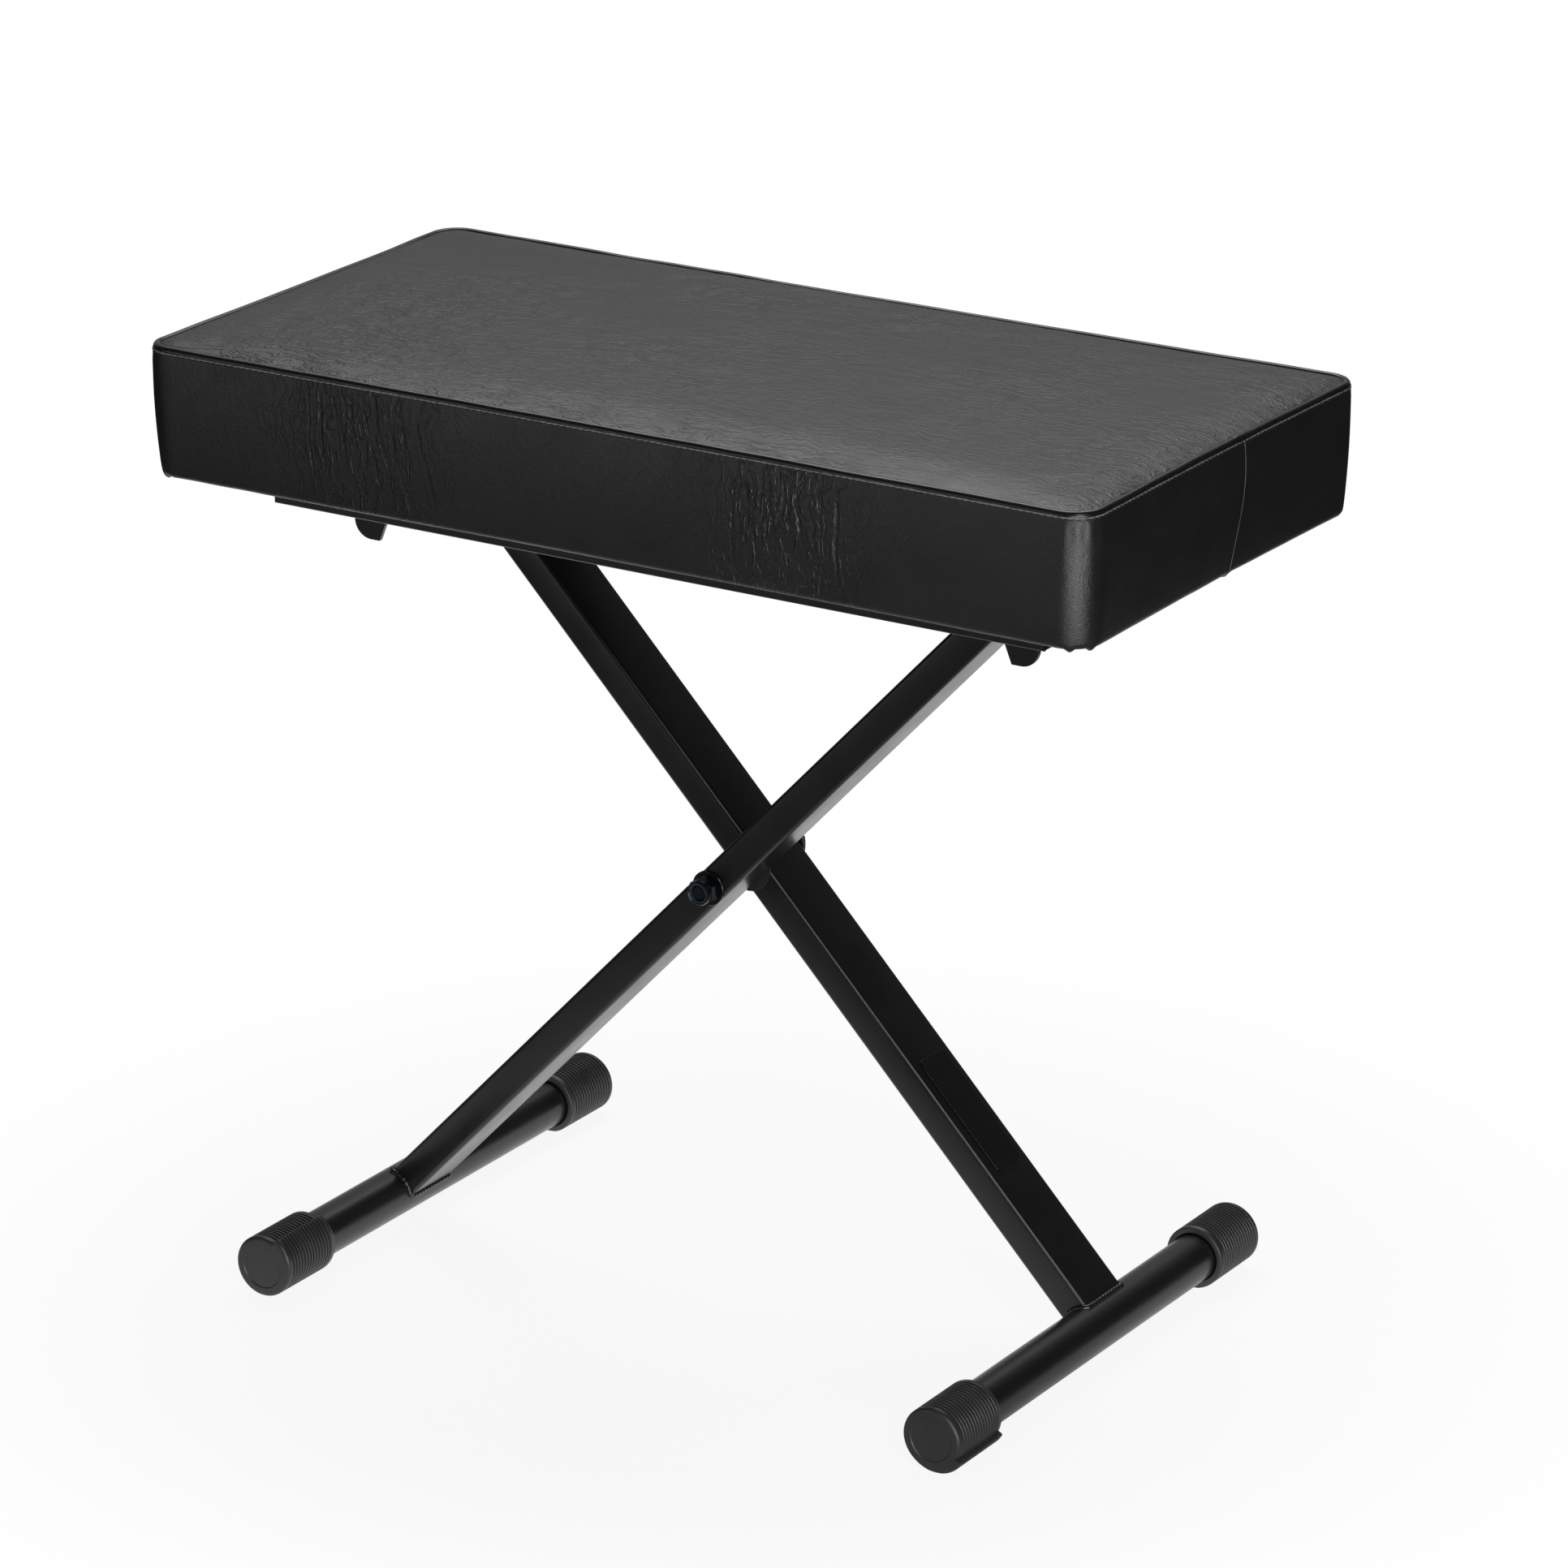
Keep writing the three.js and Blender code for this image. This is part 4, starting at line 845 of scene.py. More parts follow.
# %% [markdown]
# ## The fold under the piping
# The band's raw edge is folded in and stitched just below the piping. The eye sees a thin, slightly uneven line
# that catches the light, drawn in at every stitch, with the thread lying in the fold. The fold's light grey
# colour is a painted highlight for that line.
# %% Fold and stitches
STITCH_PITCH = 4.2
STITCH_LENGTH = 2.6
STITCH_RADIUS = 0.3
FOLD_RADIUS_MM = 0.6
FOLD_COLUMNS = 2100
fold_z = seam_z - BAND_TOP - 0.3

run = evenly(FOLD_COLUMNS)
drawn = np.abs(np.sin(np.pi * run / STITCH_PITCH)) ** 0.7
uneven = bumps(run, SEAT_LOOP, 17, 300, 0.35)
fold_place = BAND_INSET + 0.55 - 0.3 * drawn - 0.2 * uneven
fold_size = FOLD_RADIUS_MM * (0.72 + 0.28 * drawn + 0.12 * uneven)
# The fold carries the light grey painted highlight colour.
seam_fold = round_seat("seam_fold", run, fold_place, fold_z + 0.25 * uneven, fold_size, 6, fold_painted_highlight)


def stitches():
    """Ellipsoids along the fold: centre plus (tangent a, outward b, up c) times their radii."""
    count = int(round(SEAT_LOOP / STITCH_PITCH))
    points, normal = seat_outline(evenly(count))
    tangent = np.column_stack([-normal[:, 1], normal[:, 0], 0 * normal[:, 0]])
    out = np.column_stack([normal, 0 * normal[:, 0]])
    place_at = np.column_stack([points - normal * (BAND_INSET - 0.1), np.full(count, fold_z - 0.9)])
    lat = np.linspace(-np.pi / 2, np.pi / 2, 6)
    lon = np.linspace(0, 2 * np.pi, 6, endpoint=False)
    a = STITCH_LENGTH / 2 * np.sin(lat)[:, None] + 0 * lon
    b = STITCH_RADIUS * np.cos(lat)[:, None] * np.cos(lon)
    c = STITCH_RADIUS * np.cos(lat)[:, None] * np.sin(lon)
    cloud = (place_at[:, None, None] + tangent[:, None, None] * a[..., None]
             + out[:, None, None] * b[..., None] + np.array(UP) * c[..., None])
    quads = grid_quads(len(lat), len(lon), wrap_columns=True)
    every = (quads[None] + (np.arange(count) * len(lat) * len(lon))[:, None, None]).reshape(-1, 4)
    return cloud.reshape(-1, 3), every


seam_thread = put_mesh("seam_stitches", *stitches(), thread, "seat", slot="piping")
trim_faces = [len(piece.data.polygons) for piece in (piping, seam_fold, seam_thread)]
print("faces of piping, fold and stitches", trim_faces)

# %% [markdown]
# ## The dust cover
# A thin black cloth is stapled over the hem below, inside the band's hanging roll. It hangs a little
# between its staples.
# %% Dust cover
DUST_CLEAR = 6.0
DUST_THICKNESS = 0.4
DUST_LIFT = 0.75
STAPLE_PITCH = 42
STAPLE_SAG = 0.35
MIDDLE_SAG = 0.3
dust_low, dust_high = box_mm("dust_cover")
dust_low, dust_high = dust_low + DUST_CLEAR, dust_high - DUST_CLEAR
dust_size = dust_high - dust_low
DUST_STEPS = (130, 66)
share_x, share_y = np.meshgrid(*(np.linspace(0, 1, steps) for steps in DUST_STEPS), indexing="ij")
edge_x, edge_y = np.sin(np.pi * share_x), np.sin(np.pi * share_y)
gathers = np.sin(2 * np.pi * share_x * dust_size[0] / STAPLE_PITCH) * np.exp(-share_y * (1 - share_y) * 40)
dust_z = underside + DUST_LIFT - STAPLE_SAG * np.clip(gathers, 0, 1) * edge_x
dust_z = dust_z - MIDDLE_SAG * edge_x * edge_y
dust_points = np.stack([dust_low[0] + share_x * dust_size[0], dust_low[1] + share_y * dust_size[1], dust_z], -1)
dust = put_mesh("dust_cover_sheet", dust_points, grid_quads(*DUST_STEPS), dust_cloth, "seat", ("dust_cover",),
                "dust_cloth", closed=False, smooth=SOFT_ANGLE)
thicken(dust, DUST_THICKNESS)
print("dust cover", (dust_size[:2]).round(), "mm")

# %% [markdown]
# ## The legs
# Each leg is a rectangular tube with rounded corners, cut at both ends to sit on a round tube. The cut
# needs no boolean: a point at height z on the section ends where the cylinder's surface is, at
# x = centre - sqrt(R^2 - z^2). Outer and inner skins join at the ends into one closed surface.
# %% Leg tubes
LEG_HALF_WIDE = 20.0
LEG_HALF_DEEP = 9.8
LEG_ROUND = 2.8
LEG_WALL = 1.5
LEAST_ROUND = 0.8
WELD_GAP = 0.1
FOOT_RADIUS = 14.2
BAR_RADIUS = 10.0
upper_reach = math.hypot(hinge[0] - pivot[0], hinge[2] - pivot[2])
lower_reach = {side: math.hypot(*(foot[side] - pivot)[[0, 2]]) for side in foot}


class LegFrame:
    """Axes of one leg: along runs from the pivot towards the top bar, out is its upper face's normal."""

    def __init__(self, top_side, lane, foot_side, body):
        cosine, sine = math.cos(leg_angle), math.sin(leg_angle)
        self.along = np.array([top_side * cosine, 0, sine])
        self.out = np.array([-top_side * sine, 0, cosine])
        self.across = np.array([0.0, 1.0, 0.0])
        self.lane = lane
        self.foot_side = foot_side
        self.body = body

    def place(self, x, y, z):
        """World point of a place along, across and out of the leg, with y measured from its own middle."""
        x, y, z = np.broadcast_arrays(x, y, z)
        level = pivot + x[..., None] * self.along + (y + self.lane)[..., None] * self.across
        return level + z[..., None] * self.out


lane_a = sum(box_mm("leg_a_tube")[k][1] for k in (0, 1)) / 2
lane_b = sum(box_mm("leg_b_tube")[k][1] for k in (0, 1)) / 2
leg_a = LegFrame(1, lane_a, "left", "leg_a")
leg_b = LegFrame(-1, lane_b, "right", "leg_b")


def leg_tube(leg):
    """Skins of the tube as rows of section points, each end bent to its round tube."""
    reach = lower_reach[leg.foot_side]
    share = np.linspace(0, 1, 40)[:, None]
    rows = []
    for shrink in (0.0, LEG_WALL):
        corner = max(LEG_ROUND - shrink, LEAST_ROUND)
        y, z = rounded_rectangle(LEG_HALF_WIDE - shrink, LEG_HALF_DEEP - shrink, corner).T
        low = -reach + np.sqrt((FOOT_RADIUS + WELD_GAP) ** 2 - z ** 2)
        high = upper_reach - np.sqrt((BAR_RADIUS + WELD_GAP) ** 2 - z ** 2)
        skin = leg.place(low + (high - low) * share, y[None], z[None])
        rows.append(skin if shrink == 0 else skin[::-1])
    points = np.concatenate(rows)
    faces = grid_quads(len(points), points.shape[1], wrap_rows=True, wrap_columns=True)
    node = leg.body + "_tube"
    put_mesh(node + "_finished", points, faces, powder_coat, leg.body, (node,), "frame_steel")


leg_tube(leg_a)
leg_tube(leg_b)
print("reach", round(upper_reach, 1), {side: round(reach, 1) for side, reach in lower_reach.items()})

# %% [markdown]
# ## Round tubes
# The foot tubes and top bars are plain round tube with open ends: the wall's outline turned about Y.
# %% Foot tubes and top bars
TUBE_WALL = 1.5
TUBE_STEPS = 72
RIM_ROUND = 0.4


def round_tube(node, centre, radius, half_length, body):
    """Outer and inner circles at both ends, with a small rounding on the rims."""
    rim, bore, side = radius - RIM_ROUND, radius - TUBE_WALL, half_length - RIM_ROUND
    profile = [(rim, -half_length), (radius, -side), (radius, side), (rim, half_length), (bore, half_length),
               (bore, -half_length)]
    points = turned(profile, TUBE_STEPS)[0][:, [0, 2, 1]] + centre
    faces = grid_quads(len(profile), TUBE_STEPS, True, True)
    put_mesh(node + "_finished", points, faces, powder_coat, body, (node,), "frame_steel")


foot_half = box_mm("foot_tube_left")[1][1]
bar_half = box_mm("hinge_bar")[1][1]
rack_end = np.array([-hinge[0], 0, hinge[2]])
round_tube("foot_tube_left", foot["left"], FOOT_RADIUS, foot_half, "leg_a")
round_tube("foot_tube_right", foot["right"], FOOT_RADIUS, foot_half, "leg_b")
round_tube("hinge_bar", hinge, BAR_RADIUS, bar_half, "leg_a")
round_tube("rack_bar", rack_end, BAR_RADIUS, bar_half, "leg_b")

# %% [markdown]
# ## The welds
# Each leg is welded all round where it meets its round tubes. A hand-held weld leaves a bead of
# overlapping ripples about 4 mm wide, which the powder coat then softens. The bead follows the section's
# outline on the cylinder, and its radius goes up and down with the ripples.
# %% Weld beads
WELD_RADIUS = 2.0
RIPPLE_PITCH = 3.2
WELD_STEPS = 260


def weld(name, leg, end, tube_radius, seed):
    """A rippled ring of beads: circles of changing radius round the line where section and tube meet."""
    section = rounded_rectangle(LEG_HALF_WIDE + 0.3, LEG_HALF_DEEP + 0.1, LEG_ROUND, steps=12)
    closed = np.vstack([section, section[:1]])
    spot = np.concatenate([[0], np.cumsum(np.hypot(*np.diff(closed, axis=0).T))])
    run = np.linspace(0, spot[-1], WELD_STEPS, endpoint=False)
    y, z = (np.interp(run, spot, closed[:, k]) for k in (0, 1))
    bulge = np.sqrt(np.clip(tube_radius ** 2 - z ** 2, 0, None))
    x = -lower_reach[leg.foot_side] + bulge if end == "foot" else upper_reach - bulge
    path = leg.place(x, y, z)
    ahead = np.roll(path, -1, 0) - np.roll(path, 1, 0)
    ahead /= np.linalg.norm(ahead, axis=1)[:, None]
    across = np.cross(ahead, leg.along)
    across /= np.linalg.norm(across, axis=1)[:, None]
    waver = bumps(run, spot[-1], seed, 12, 0.3)
    ripple = 0.86 + 0.14 * np.abs(np.sin(np.pi * run / RIPPLE_PITCH)) + 0.12 * waver
    points, faces = carried(path, across, np.cross(across, ahead), circle(1.0, 12), size=WELD_RADIUS * ripple)
    put_mesh(name, points, faces, powder_coat, leg.body, slot="frame_steel", smooth=60)


weld("weld_foot_left", leg_a, "foot", FOOT_RADIUS, 11)
weld("weld_foot_right", leg_b, "foot", FOOT_RADIUS, 12)
weld("weld_hinge_bar", leg_a, "bar", BAR_RADIUS, 13)
weld("weld_rack_bar", leg_b, "bar", BAR_RADIUS, 14)

# %% [markdown]
# ## The levelling caps
# A cap is a rubber sleeve with a lobe: turning it puts a larger or smaller radius under the foot. Its
# outline is a snail, r = R + lift cos^2(90 deg * turn / fade), so it has one sharp step. Rings of
# grooves run round the grip. Columns go round the snail, with both sides of the step as separate
# columns, and rows go along the grip, over the rounded end and back down the bore. The bench's weight
# presses the rubber flat where it stands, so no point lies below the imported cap's lowest.
# %% Caps
CAP_RADIUS = 18.4
CAM_LIFT = 3.1
CAM_FADE = 110.0
CAP_EDGE = 2.4
RIB_PITCH = 2.75
RIB_COUNT = 14
RIB_START = 4.2
GROOVE_DEPTH = 1.5
GROOVE_SHARES = ((0.0, 0.0), (0.07, -0.16), (0.13, -0.62), (0.2, -1.0), (0.48, -1.0), (0.55, -0.62),
                 (0.61, -0.16), (0.68, 0.0))
CAP_COLUMNS = 168
CAP_FLOOR = 7
FACE_STEP_RADIUS = 13.2
FACE_SUNK = 0.5
BORE_CLEAR = 0.15
STEP_ANGLES = {"front_right": -28.0, "front_left": 62.0, "back_right": 208.0, "back_left": 130.0}


def cap_rows(length_mm):
    """Rows out over the ribs and the rounded end: place along the cap, offset from the snail."""
    rows = [(0.0, -1.2), (0.25, -0.5), (0.9, 0.0), (RIB_START - 0.5, 0.0)]
    for k in range(RIB_COUNT):
        start = RIB_START + k * RIB_PITCH
        rows += [(start + share * RIB_PITCH, GROOVE_DEPTH * depth) for share, depth in GROOVE_SHARES]
    for angle in np.radians(np.linspace(0, 90, 7)):
        rows.append((length_mm - CAP_EDGE * (1 - math.sin(angle)), -CAP_EDGE * (1 - math.cos(angle))))
    return rows


def levelling_cap(name):
    """One cap as a closed grid, its outline turned to the step's place on the real foot."""
    low, high = box_mm("levelling_cap_" + name)
    way, start = (1, low[1]) if name.startswith("back") else (-1, high[1])
    centre = place["cap_turn_" + name]
    turn_deg = np.linspace(0, 360, CAP_COLUMNS + 1)
    angle = np.radians(STEP_ANGLES[name] + way * turn_deg)
    snail = CAP_RADIUS + CAM_LIFT * np.cos(np.pi / 2 * np.clip(turn_deg / CAM_FADE, 0, 1)) ** 2
    end = high[1] - low[1]
    grip = [(along, snail + offset) for along, offset in cap_rows(end)]
    sunk, floor_at, bore = end - FACE_SUNK, end - CAP_FLOOR, FOOT_RADIUS + BORE_CLEAR
    face = [(end, grip[-1][1] / 2 + FACE_STEP_RADIUS / 2 + 0.4), (end, FACE_STEP_RADIUS + 0.35),
            (end, FACE_STEP_RADIUS), (sunk, FACE_STEP_RADIUS - 0.5), (sunk, FACE_STEP_RADIUS / 2), (sunk, 0)]
    inside = [(floor_at, 0), (floor_at, bore / 2), (floor_at, bore), (1.0, bore), (0.0, bore + 0.8)]
    rings = []
    for along, radius in grip + face + inside:
        across, rise = radius * np.cos(angle), radius * np.sin(angle)
        rings.append(np.column_stack([centre[0] + across, 0 * angle + start + way * along, centre[2] + rise]))
    points = np.array(rings)
    points[..., 2] = np.maximum(points[..., 2], low[2])
    faces = grid_quads(len(rings), CAP_COLUMNS + 1, True, True)
    return put_mesh("cap_" + name, points, faces, cap_rubber, "cap_" + name, ("levelling_cap_" + name,),
                    "cap_rubber", smooth=40)


for cap_name in STEP_ANGLES:
    cap = levelling_cap(cap_name)
print("cap", len(cap.data.polygons), "faces")

# %% [markdown]
# ## Nuts, bolts and washers
# A nut is a hexagon whose corners are turned off at 30 degrees: each corner's height is lowered where
# its radius passes the chamfer's cone. A locking nut has a nylon ring crimped in its collar.
# %% Hardware


def hex_radius(angle, flats):
    """Distance from the middle to a hexagon's side in a direction."""
    return flats / 2 / np.cos((angle + np.pi / 6) % (np.pi / 3) - np.pi / 6)


def hexagon(flats, height, bore=0.0, chamfer=30.0, steps=96):
    """A hexagon along Z with both ends chamfered: z is pulled back by the radius past the flats."""
    angle = np.linspace(0, 2 * np.pi, steps, endpoint=False)
    side = hex_radius(angle, flats)
    drop = (side - flats * 0.485) * math.tan(math.radians(chamfer))
    rows = [(np.full(steps, max(bore, 0.01)), 0 * angle), (np.full(steps, flats * 0.47), 0 * angle),
            (side, drop), (side, height - drop), (np.full(steps, flats * 0.47), height + 0 * angle),
            (np.full(steps, max(bore, 0.01)), height + 0 * angle)]
    points = np.stack([np.stack([r * np.cos(angle), r * np.sin(angle), z], -1) for r, z in rows])
    return points.reshape(-1, 3), grid_quads(len(rows), steps, bore > 0, True)


def fixing(name, parts, centre, material, nodes, slot="fixings"):
    """Joins parts made along Z into one piece of leg A along Y, with its top towards the front."""
    points, faces = many(parts)
    points = points[:, [0, 2, 1]] * (1, -1, 1) + centre
    put_mesh(name, points, faces, material, "leg_a", nodes, slot, smooth=28)


def washer_part(outer, bore, thickness, edge=0.3):
    """A flat ring along Z whose outer rims are chamfered."""
    profile = [(bore, 0), (outer - edge, 0), (outer, edge), (outer, thickness - edge),
               (outer - edge, thickness), (bore, thickness), (bore, 0)]
    return turned(profile)


def on_pivot(node):
    """Length of a packed fixing on the pivot, and the middle of its back face."""
    low, high = box_mm(node)
    return high[1] - low[1], (pivot[0], high[1], pivot[2])


WASHER_RADIUS = 10.3
SHANK_BORE = 5.2
SHANK_RADIUS = 4.95
HEAD_HEIGHT = 6.4
NUT_FLATS = 15.0
COLLAR_HEIGHT = 3.2
COLLAR_SINK = 0.5
washer_thickness, washer_face = on_pivot("pivot_washer_front")
nut_length, nut_face = on_pivot("pivot_nut")
shank, bolt_face = on_pivot("pivot_bolt")
nut_height = nut_length - COLLAR_HEIGHT
collar_foot = nut_height - COLLAR_SINK
collar = turned([(5.3, collar_foot), (7.3, collar_foot), (7.3, nut_length - 1.2), (6.9, nut_length - 0.3),
                 (6.2, nut_length), (5.9, nut_length - 0.4), (5.3, nut_length - 0.9), (5.3, collar_foot)], 56)
locking_ring = turned([(5.0, nut_height), (6.3, nut_height), (6.3, nut_length - 0.5), (5.0, nut_length - 0.6),
                       (5.0, nut_height)], 56)
shaft = turned([(0, HEAD_HEIGHT - 1), (SHANK_RADIUS, HEAD_HEIGHT - 1), (SHANK_RADIUS, shank - 1.2),
                (3.8, shank), (0, shank)], 48)
fixing("pivot_washer_front_finished", [washer_part(WASHER_RADIUS, SHANK_BORE, washer_thickness)], washer_face,
       black_zinc, ("pivot_washer_front",))
fixing("pivot_nut_finished", [hexagon(NUT_FLATS, nut_height, SHANK_BORE), collar], nut_face, black_zinc,
       ("pivot_nut",))
fixing("pivot_nut_locking_ring", [locking_ring], nut_face, blue_nylon, (), "nylon")
fixing("pivot_bolt_finished", [shaft, hexagon(NUT_FLATS, HEAD_HEIGHT)], bolt_face, black_zinc, ("pivot_bolt",))

# %% [markdown]
# ## Steel under the seat
# Rails and plates are folded from 2 and 3 mm sheet. A fold has a rounded outside, which catches a thin
# line of light. A rail is an L-shaped outline carried along its length.
# %% Rails
RAIL_SHEET = 2.0
FOLD_RADIUS = 2.6
CUT_EDGE = 0.6


def angle_section(width, height, sheet, fold):
    """An L with its corner folded: radius fold outside, fold minus sheet inside. u is inwards, v is down."""
    bend = np.linspace(0, np.pi / 2, 8)
    outer = np.stack([fold * (1 - np.sin(bend)), fold * (1 - np.cos(bend))], -1)
    inner_radius = max(fold - sheet, 0.3)
    inner = np.stack([fold - inner_radius * np.sin(bend), fold - inner_radius * np.cos(bend)], -1)
    low, wide = height - CUT_EDGE, width - CUT_EDGE
    return np.vstack([
        [(wide, 0)], outer, [(0, low), (CUT_EDGE, height), (sheet - CUT_EDGE, height), (sheet, low)],
        inner[::-1], [(wide, sheet), (width, sheet - CUT_EDGE), (width, CUT_EDGE)],
    ])


def rail(node):
    """A folded angle along X or Y, as the node's box says, with its wide leg up against the seat."""
    low, high = box_mm(node)
    size = high - low
    if node == "rail_end":
        path = [(high[0], y, high[2]) for y in np.linspace(low[1], high[1], 24)]
        across, width = (-1, 0, 0), size[0]
    else:
        way, edge_y = (1, low[1]) if low[1] < 0 else (-1, high[1])
        path = [(x, edge_y, high[2]) for x in np.linspace(low[0], high[0], 60)]
        across, width = (0, way, 0), size[1]
    section = angle_section(width, size[2], RAIL_SHEET, FOLD_RADIUS)
    points, faces = carried(np.array(path), across, (0, 0, -1), section, closed=False)
    put_mesh(node + "_finished", points, faces, powder_coat, "seat", (node,), "frame_steel", smooth=30)


for node in ("rail_front", "rail_back", "rail_end"):
    rail(node)

# %% [markdown]
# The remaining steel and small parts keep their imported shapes. A copy of each node is merged and its
# edges are rounded with a bevel, because punched and sawn edges are never sharp once they are coated.
# %% Rounded copies
BEVEL_ANGLE = 40
FLAT_ANGLE = math.radians(1.0)


def rounded_copy(node, body, material, width_mm):
    """The node's own mesh, merged to a closed body, with small bevels on its sharp edges."""
    mesh = frame["nodes"][node].data.copy()
    shape = bmesh.new()
    shape.from_mesh(mesh)
    bmesh.ops.remove_doubles(shape, verts=shape.verts, dist=MERGE_DISTANCE)
    bmesh.ops.dissolve_limit(shape, angle_limit=FLAT_ANGLE, verts=shape.verts, edges=shape.edges)
    shape.to_mesh(mesh)
    shape.free()
    piece = set_up(node + "_finished", mesh, material, body, (node,), BEVEL_ANGLE)
    bevel = piece.modifiers.new("rounded_edges", "BEVEL")
    bevel.width = width_mm * MM
    bevel.segments = 2
    bevel.limit_method = "ANGLE"
    bevel.angle_limit = math.radians(BEVEL_ANGLE)
    bevel.harden_normals = True


for node in ("side_plate_front", "side_plate_back", "rack_front", "rack_back"):
    rounded_copy(node, "seat", powder_coat, 0.45)
rounded_copy("label_plate", "leg_b", label_film, 0.2)
for node in ("hinge_bush_front", "hinge_bush_back"):
    rounded_copy(node, "leg_a", black_nylon, 0.3)
for node in ("rack_bar_plug_front", "rack_bar_plug_back", "pivot_spacer"):
    rounded_copy(node, "leg_b", black_nylon, 0.2)

# %% [markdown]
# ## Pieces that stay as packed
# The board, the screws, the hinge's bolt, washers and nut and the pivot's back washer keep their
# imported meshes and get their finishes.
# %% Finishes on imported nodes


def finish_node(node, material):
    """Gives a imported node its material."""
    data = frame["nodes"][node].data
    data.materials.clear()
    data.materials.append(material)


ZINC_NODES = ("hinge_bolt", "hinge_washer", "hinge_nut", "pivot_washer_back")
for node in frame["nodes"]:
    if "screw" in node or node.startswith(ZINC_NODES):
        finish_node(node, black_zinc)
finish_node("seat_board", plywood)

# %% [markdown]
# ## Floor, background and light
# The bench stands on a white floor in a white room. The camera sees plain white and a faint shadow. What
# the bench reflects is a small studio: a lit patch of floor behind it and dimmer floor elsewhere, a
# soft glow high behind on the left, a softbox above, a strip that draws the near corner, a soft wash, a
# faint lamp high on the left for the seat's shoulder, and a small lamp high on the right that the
# steel's rounded edges reflect as thin lines.
# %% Stage
FLOOR_RADIUS = 3.0
FLOOR_WHITE = 0.9
WHITE_OUT_MM = (250, 620)
LIT_FLOOR = 0.95
LIT_PLACE_MM = (-250, 450)
LIT_REACH_MM = (450, 1000)
FRONT_FLOOR = 0.08
FRONT_PLACE_MM = (-500, -1000)
FRONT_REACH_MM = (500, 1100)
DIM_FLOOR = 0.02
WHITE = (1, 1, 1, 1)


def soft_disc(tree, where, middle_mm, reach_mm, inside, outside):
    """A number that is one value within a distance of a place on the floor and another beyond it."""
    middle = (middle_mm[0] * MM, middle_mm[1] * MM, 0)
    offset = add(tree, "VectorMath", {"operation": "SUBTRACT"}, _0=where, _1=middle)
    far = add(tree, "VectorMath", {"operation": "LENGTH"}, _0=offset.outputs[0])
    step = add(tree, "MapRange", SMOOTH_STEP, Value=far.outputs["Value"], From_Min=reach_mm[0] * MM,
               From_Max=reach_mm[1] * MM, To_Min=inside, To_Max=outside)
    return step.outputs[0]


def floor_material():
    """The camera sees lit white mixed with plain white, and all white beyond. Other rays see lit patches."""
    material, tree, shader, where = new_material("white_floor", "#f6f6f6", 0.9)
    fade = soft_disc(tree, where, (0, 0), WHITE_OUT_MM, FLOOR_WHITE, 1.0)
    plain = add(tree, "Emission", Color=WHITE, Strength=1.0)
    seen = add(tree, "MixShader", _0=fade, _1=shader.outputs[0], _2=plain.outputs[0])
    behind = soft_disc(tree, where, LIT_PLACE_MM, LIT_REACH_MM, LIT_FLOOR, 0.0)
    before = soft_disc(tree, where, FRONT_PLACE_MM, FRONT_REACH_MM, FRONT_FLOOR, 0.0)
    patches = add(tree, "Math", {"operation": "ADD"}, _0=behind, _1=before)
    level = add(tree, "Math", {"operation": "ADD"}, _0=patches.outputs[0], _1=DIM_FLOOR)
    mirrored = add(tree, "Emission", Color=WHITE, Strength=level.outputs[0])
    rays = add(tree, "LightPath")
    mix = add(tree, "MixShader", _0=rays.outputs["Is Camera Ray"], _1=mirrored.outputs[0], _2=seen.outputs[0])
    feed(tree, tree.nodes["Material Output"], Surface=mix.outputs[0])
    return material


floor_mesh = bpy.data.meshes.new("floor")
floor_points, _ = turned([(FLOOR_RADIUS, 0)], 96)
floor_mesh.from_pydata(floor_points.tolist(), [], [list(range(96))])
floor_mesh.materials.append(floor_material())
floor = bpy.data.objects.new("floor", floor_mesh)
bpy.context.scene.collection.objects.link(floor)

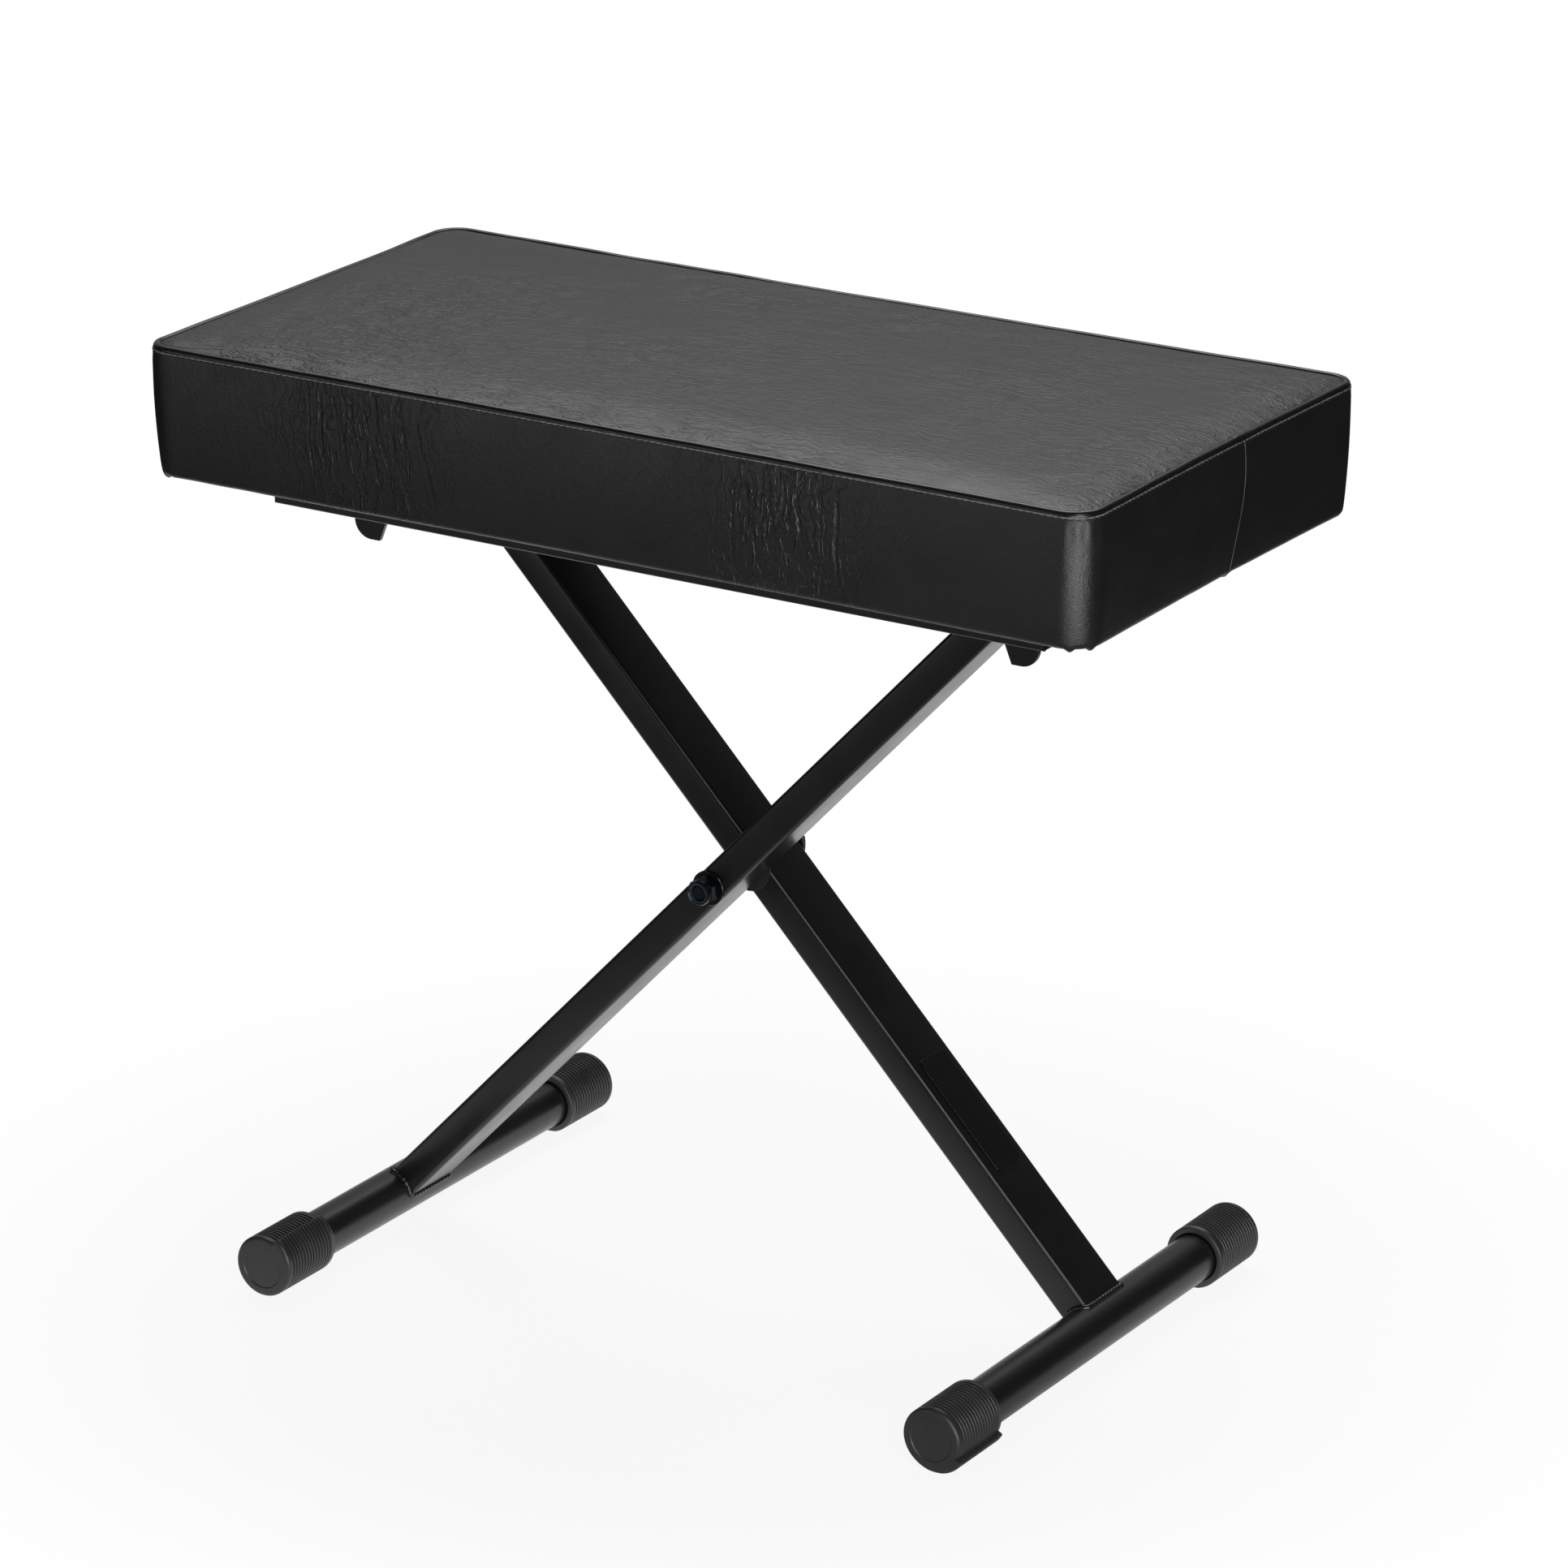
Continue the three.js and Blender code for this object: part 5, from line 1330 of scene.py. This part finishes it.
# Name, place, target, size in metres and watts
LAMPS = (
    ("overhead", (-0.5, 1.0, 2.2), (0, 0, 0.3), (1.6, 1.2), 22.0),
    ("corner_strip", (1.1, -1.1, 0.15), (0.3, -0.15, 0.5), (1.2, 0.5), 18.0),
    ("front_wash", (-1.1, -1.9, 0.35), (0, 0, 0.4), (1.0, 0.6), 2.8),
    ("shoulder_strip", (-1.3, 0.65, 2.2), (0, 0, 0.5), (0.5, 0.5), 2.0),
    ("edge_light", (1.5, -1.4, 1.5), (0, 0, 0.35), (0.7, 0.7), 12.0),
)


def softbox(name, spot, target, size, power):
    """A rectangular lamp at a place, facing a target."""
    data = bpy.data.lights.new(name, "AREA")
    data.shape = "RECTANGLE"
    data.size, data.size_y = size
    data.energy = power
    lamp = bpy.data.objects.new(name, data)
    bpy.context.scene.collection.objects.link(lamp)
    lamp.location = spot
    lamp.visible_camera = False
    lamp.rotation_euler = (Vector(target) - Vector(spot)).to_track_quat("-Z", "Y").to_euler()


for lamp_values in LAMPS:
    softbox(*lamp_values)

GLOW_TOWARDS = (-0.50, 0.74, 0.45)
GLOW_COSINES = (0.6, 0.97)
GLOW = 0.28
ROOM = 0.05


def studio_world():
    """White to the camera. For other rays a dim room with a soft glow high behind on the left."""
    world = bpy.data.worlds.new("studio")
    world.use_nodes = True
    tree = world.node_tree
    direction = add(tree, "TexCoord").outputs["Generated"]
    toward = add(tree, "VectorMath", {"operation": "DOT_PRODUCT"}, _0=direction, _1=GLOW_TOWARDS)
    glow = add(tree, "MapRange", SMOOTH_STEP, Value=toward.outputs["Value"], From_Min=GLOW_COSINES[0],
               From_Max=GLOW_COSINES[1], To_Min=ROOM, To_Max=ROOM + GLOW)
    rays = add(tree, "LightPath")
    strength = add(tree, "Mix", Factor=rays.outputs["Is Camera Ray"], _2=glow.outputs[0], _3=1.0)
    feed(tree, tree.nodes["Background"], Color=WHITE, Strength=strength.outputs[0])
    bpy.context.scene.world = world


studio_world()
bpy.context.scene.view_settings.view_transform = "Standard"
print("lamps", {values[0]: values[-1] for values in LAMPS})
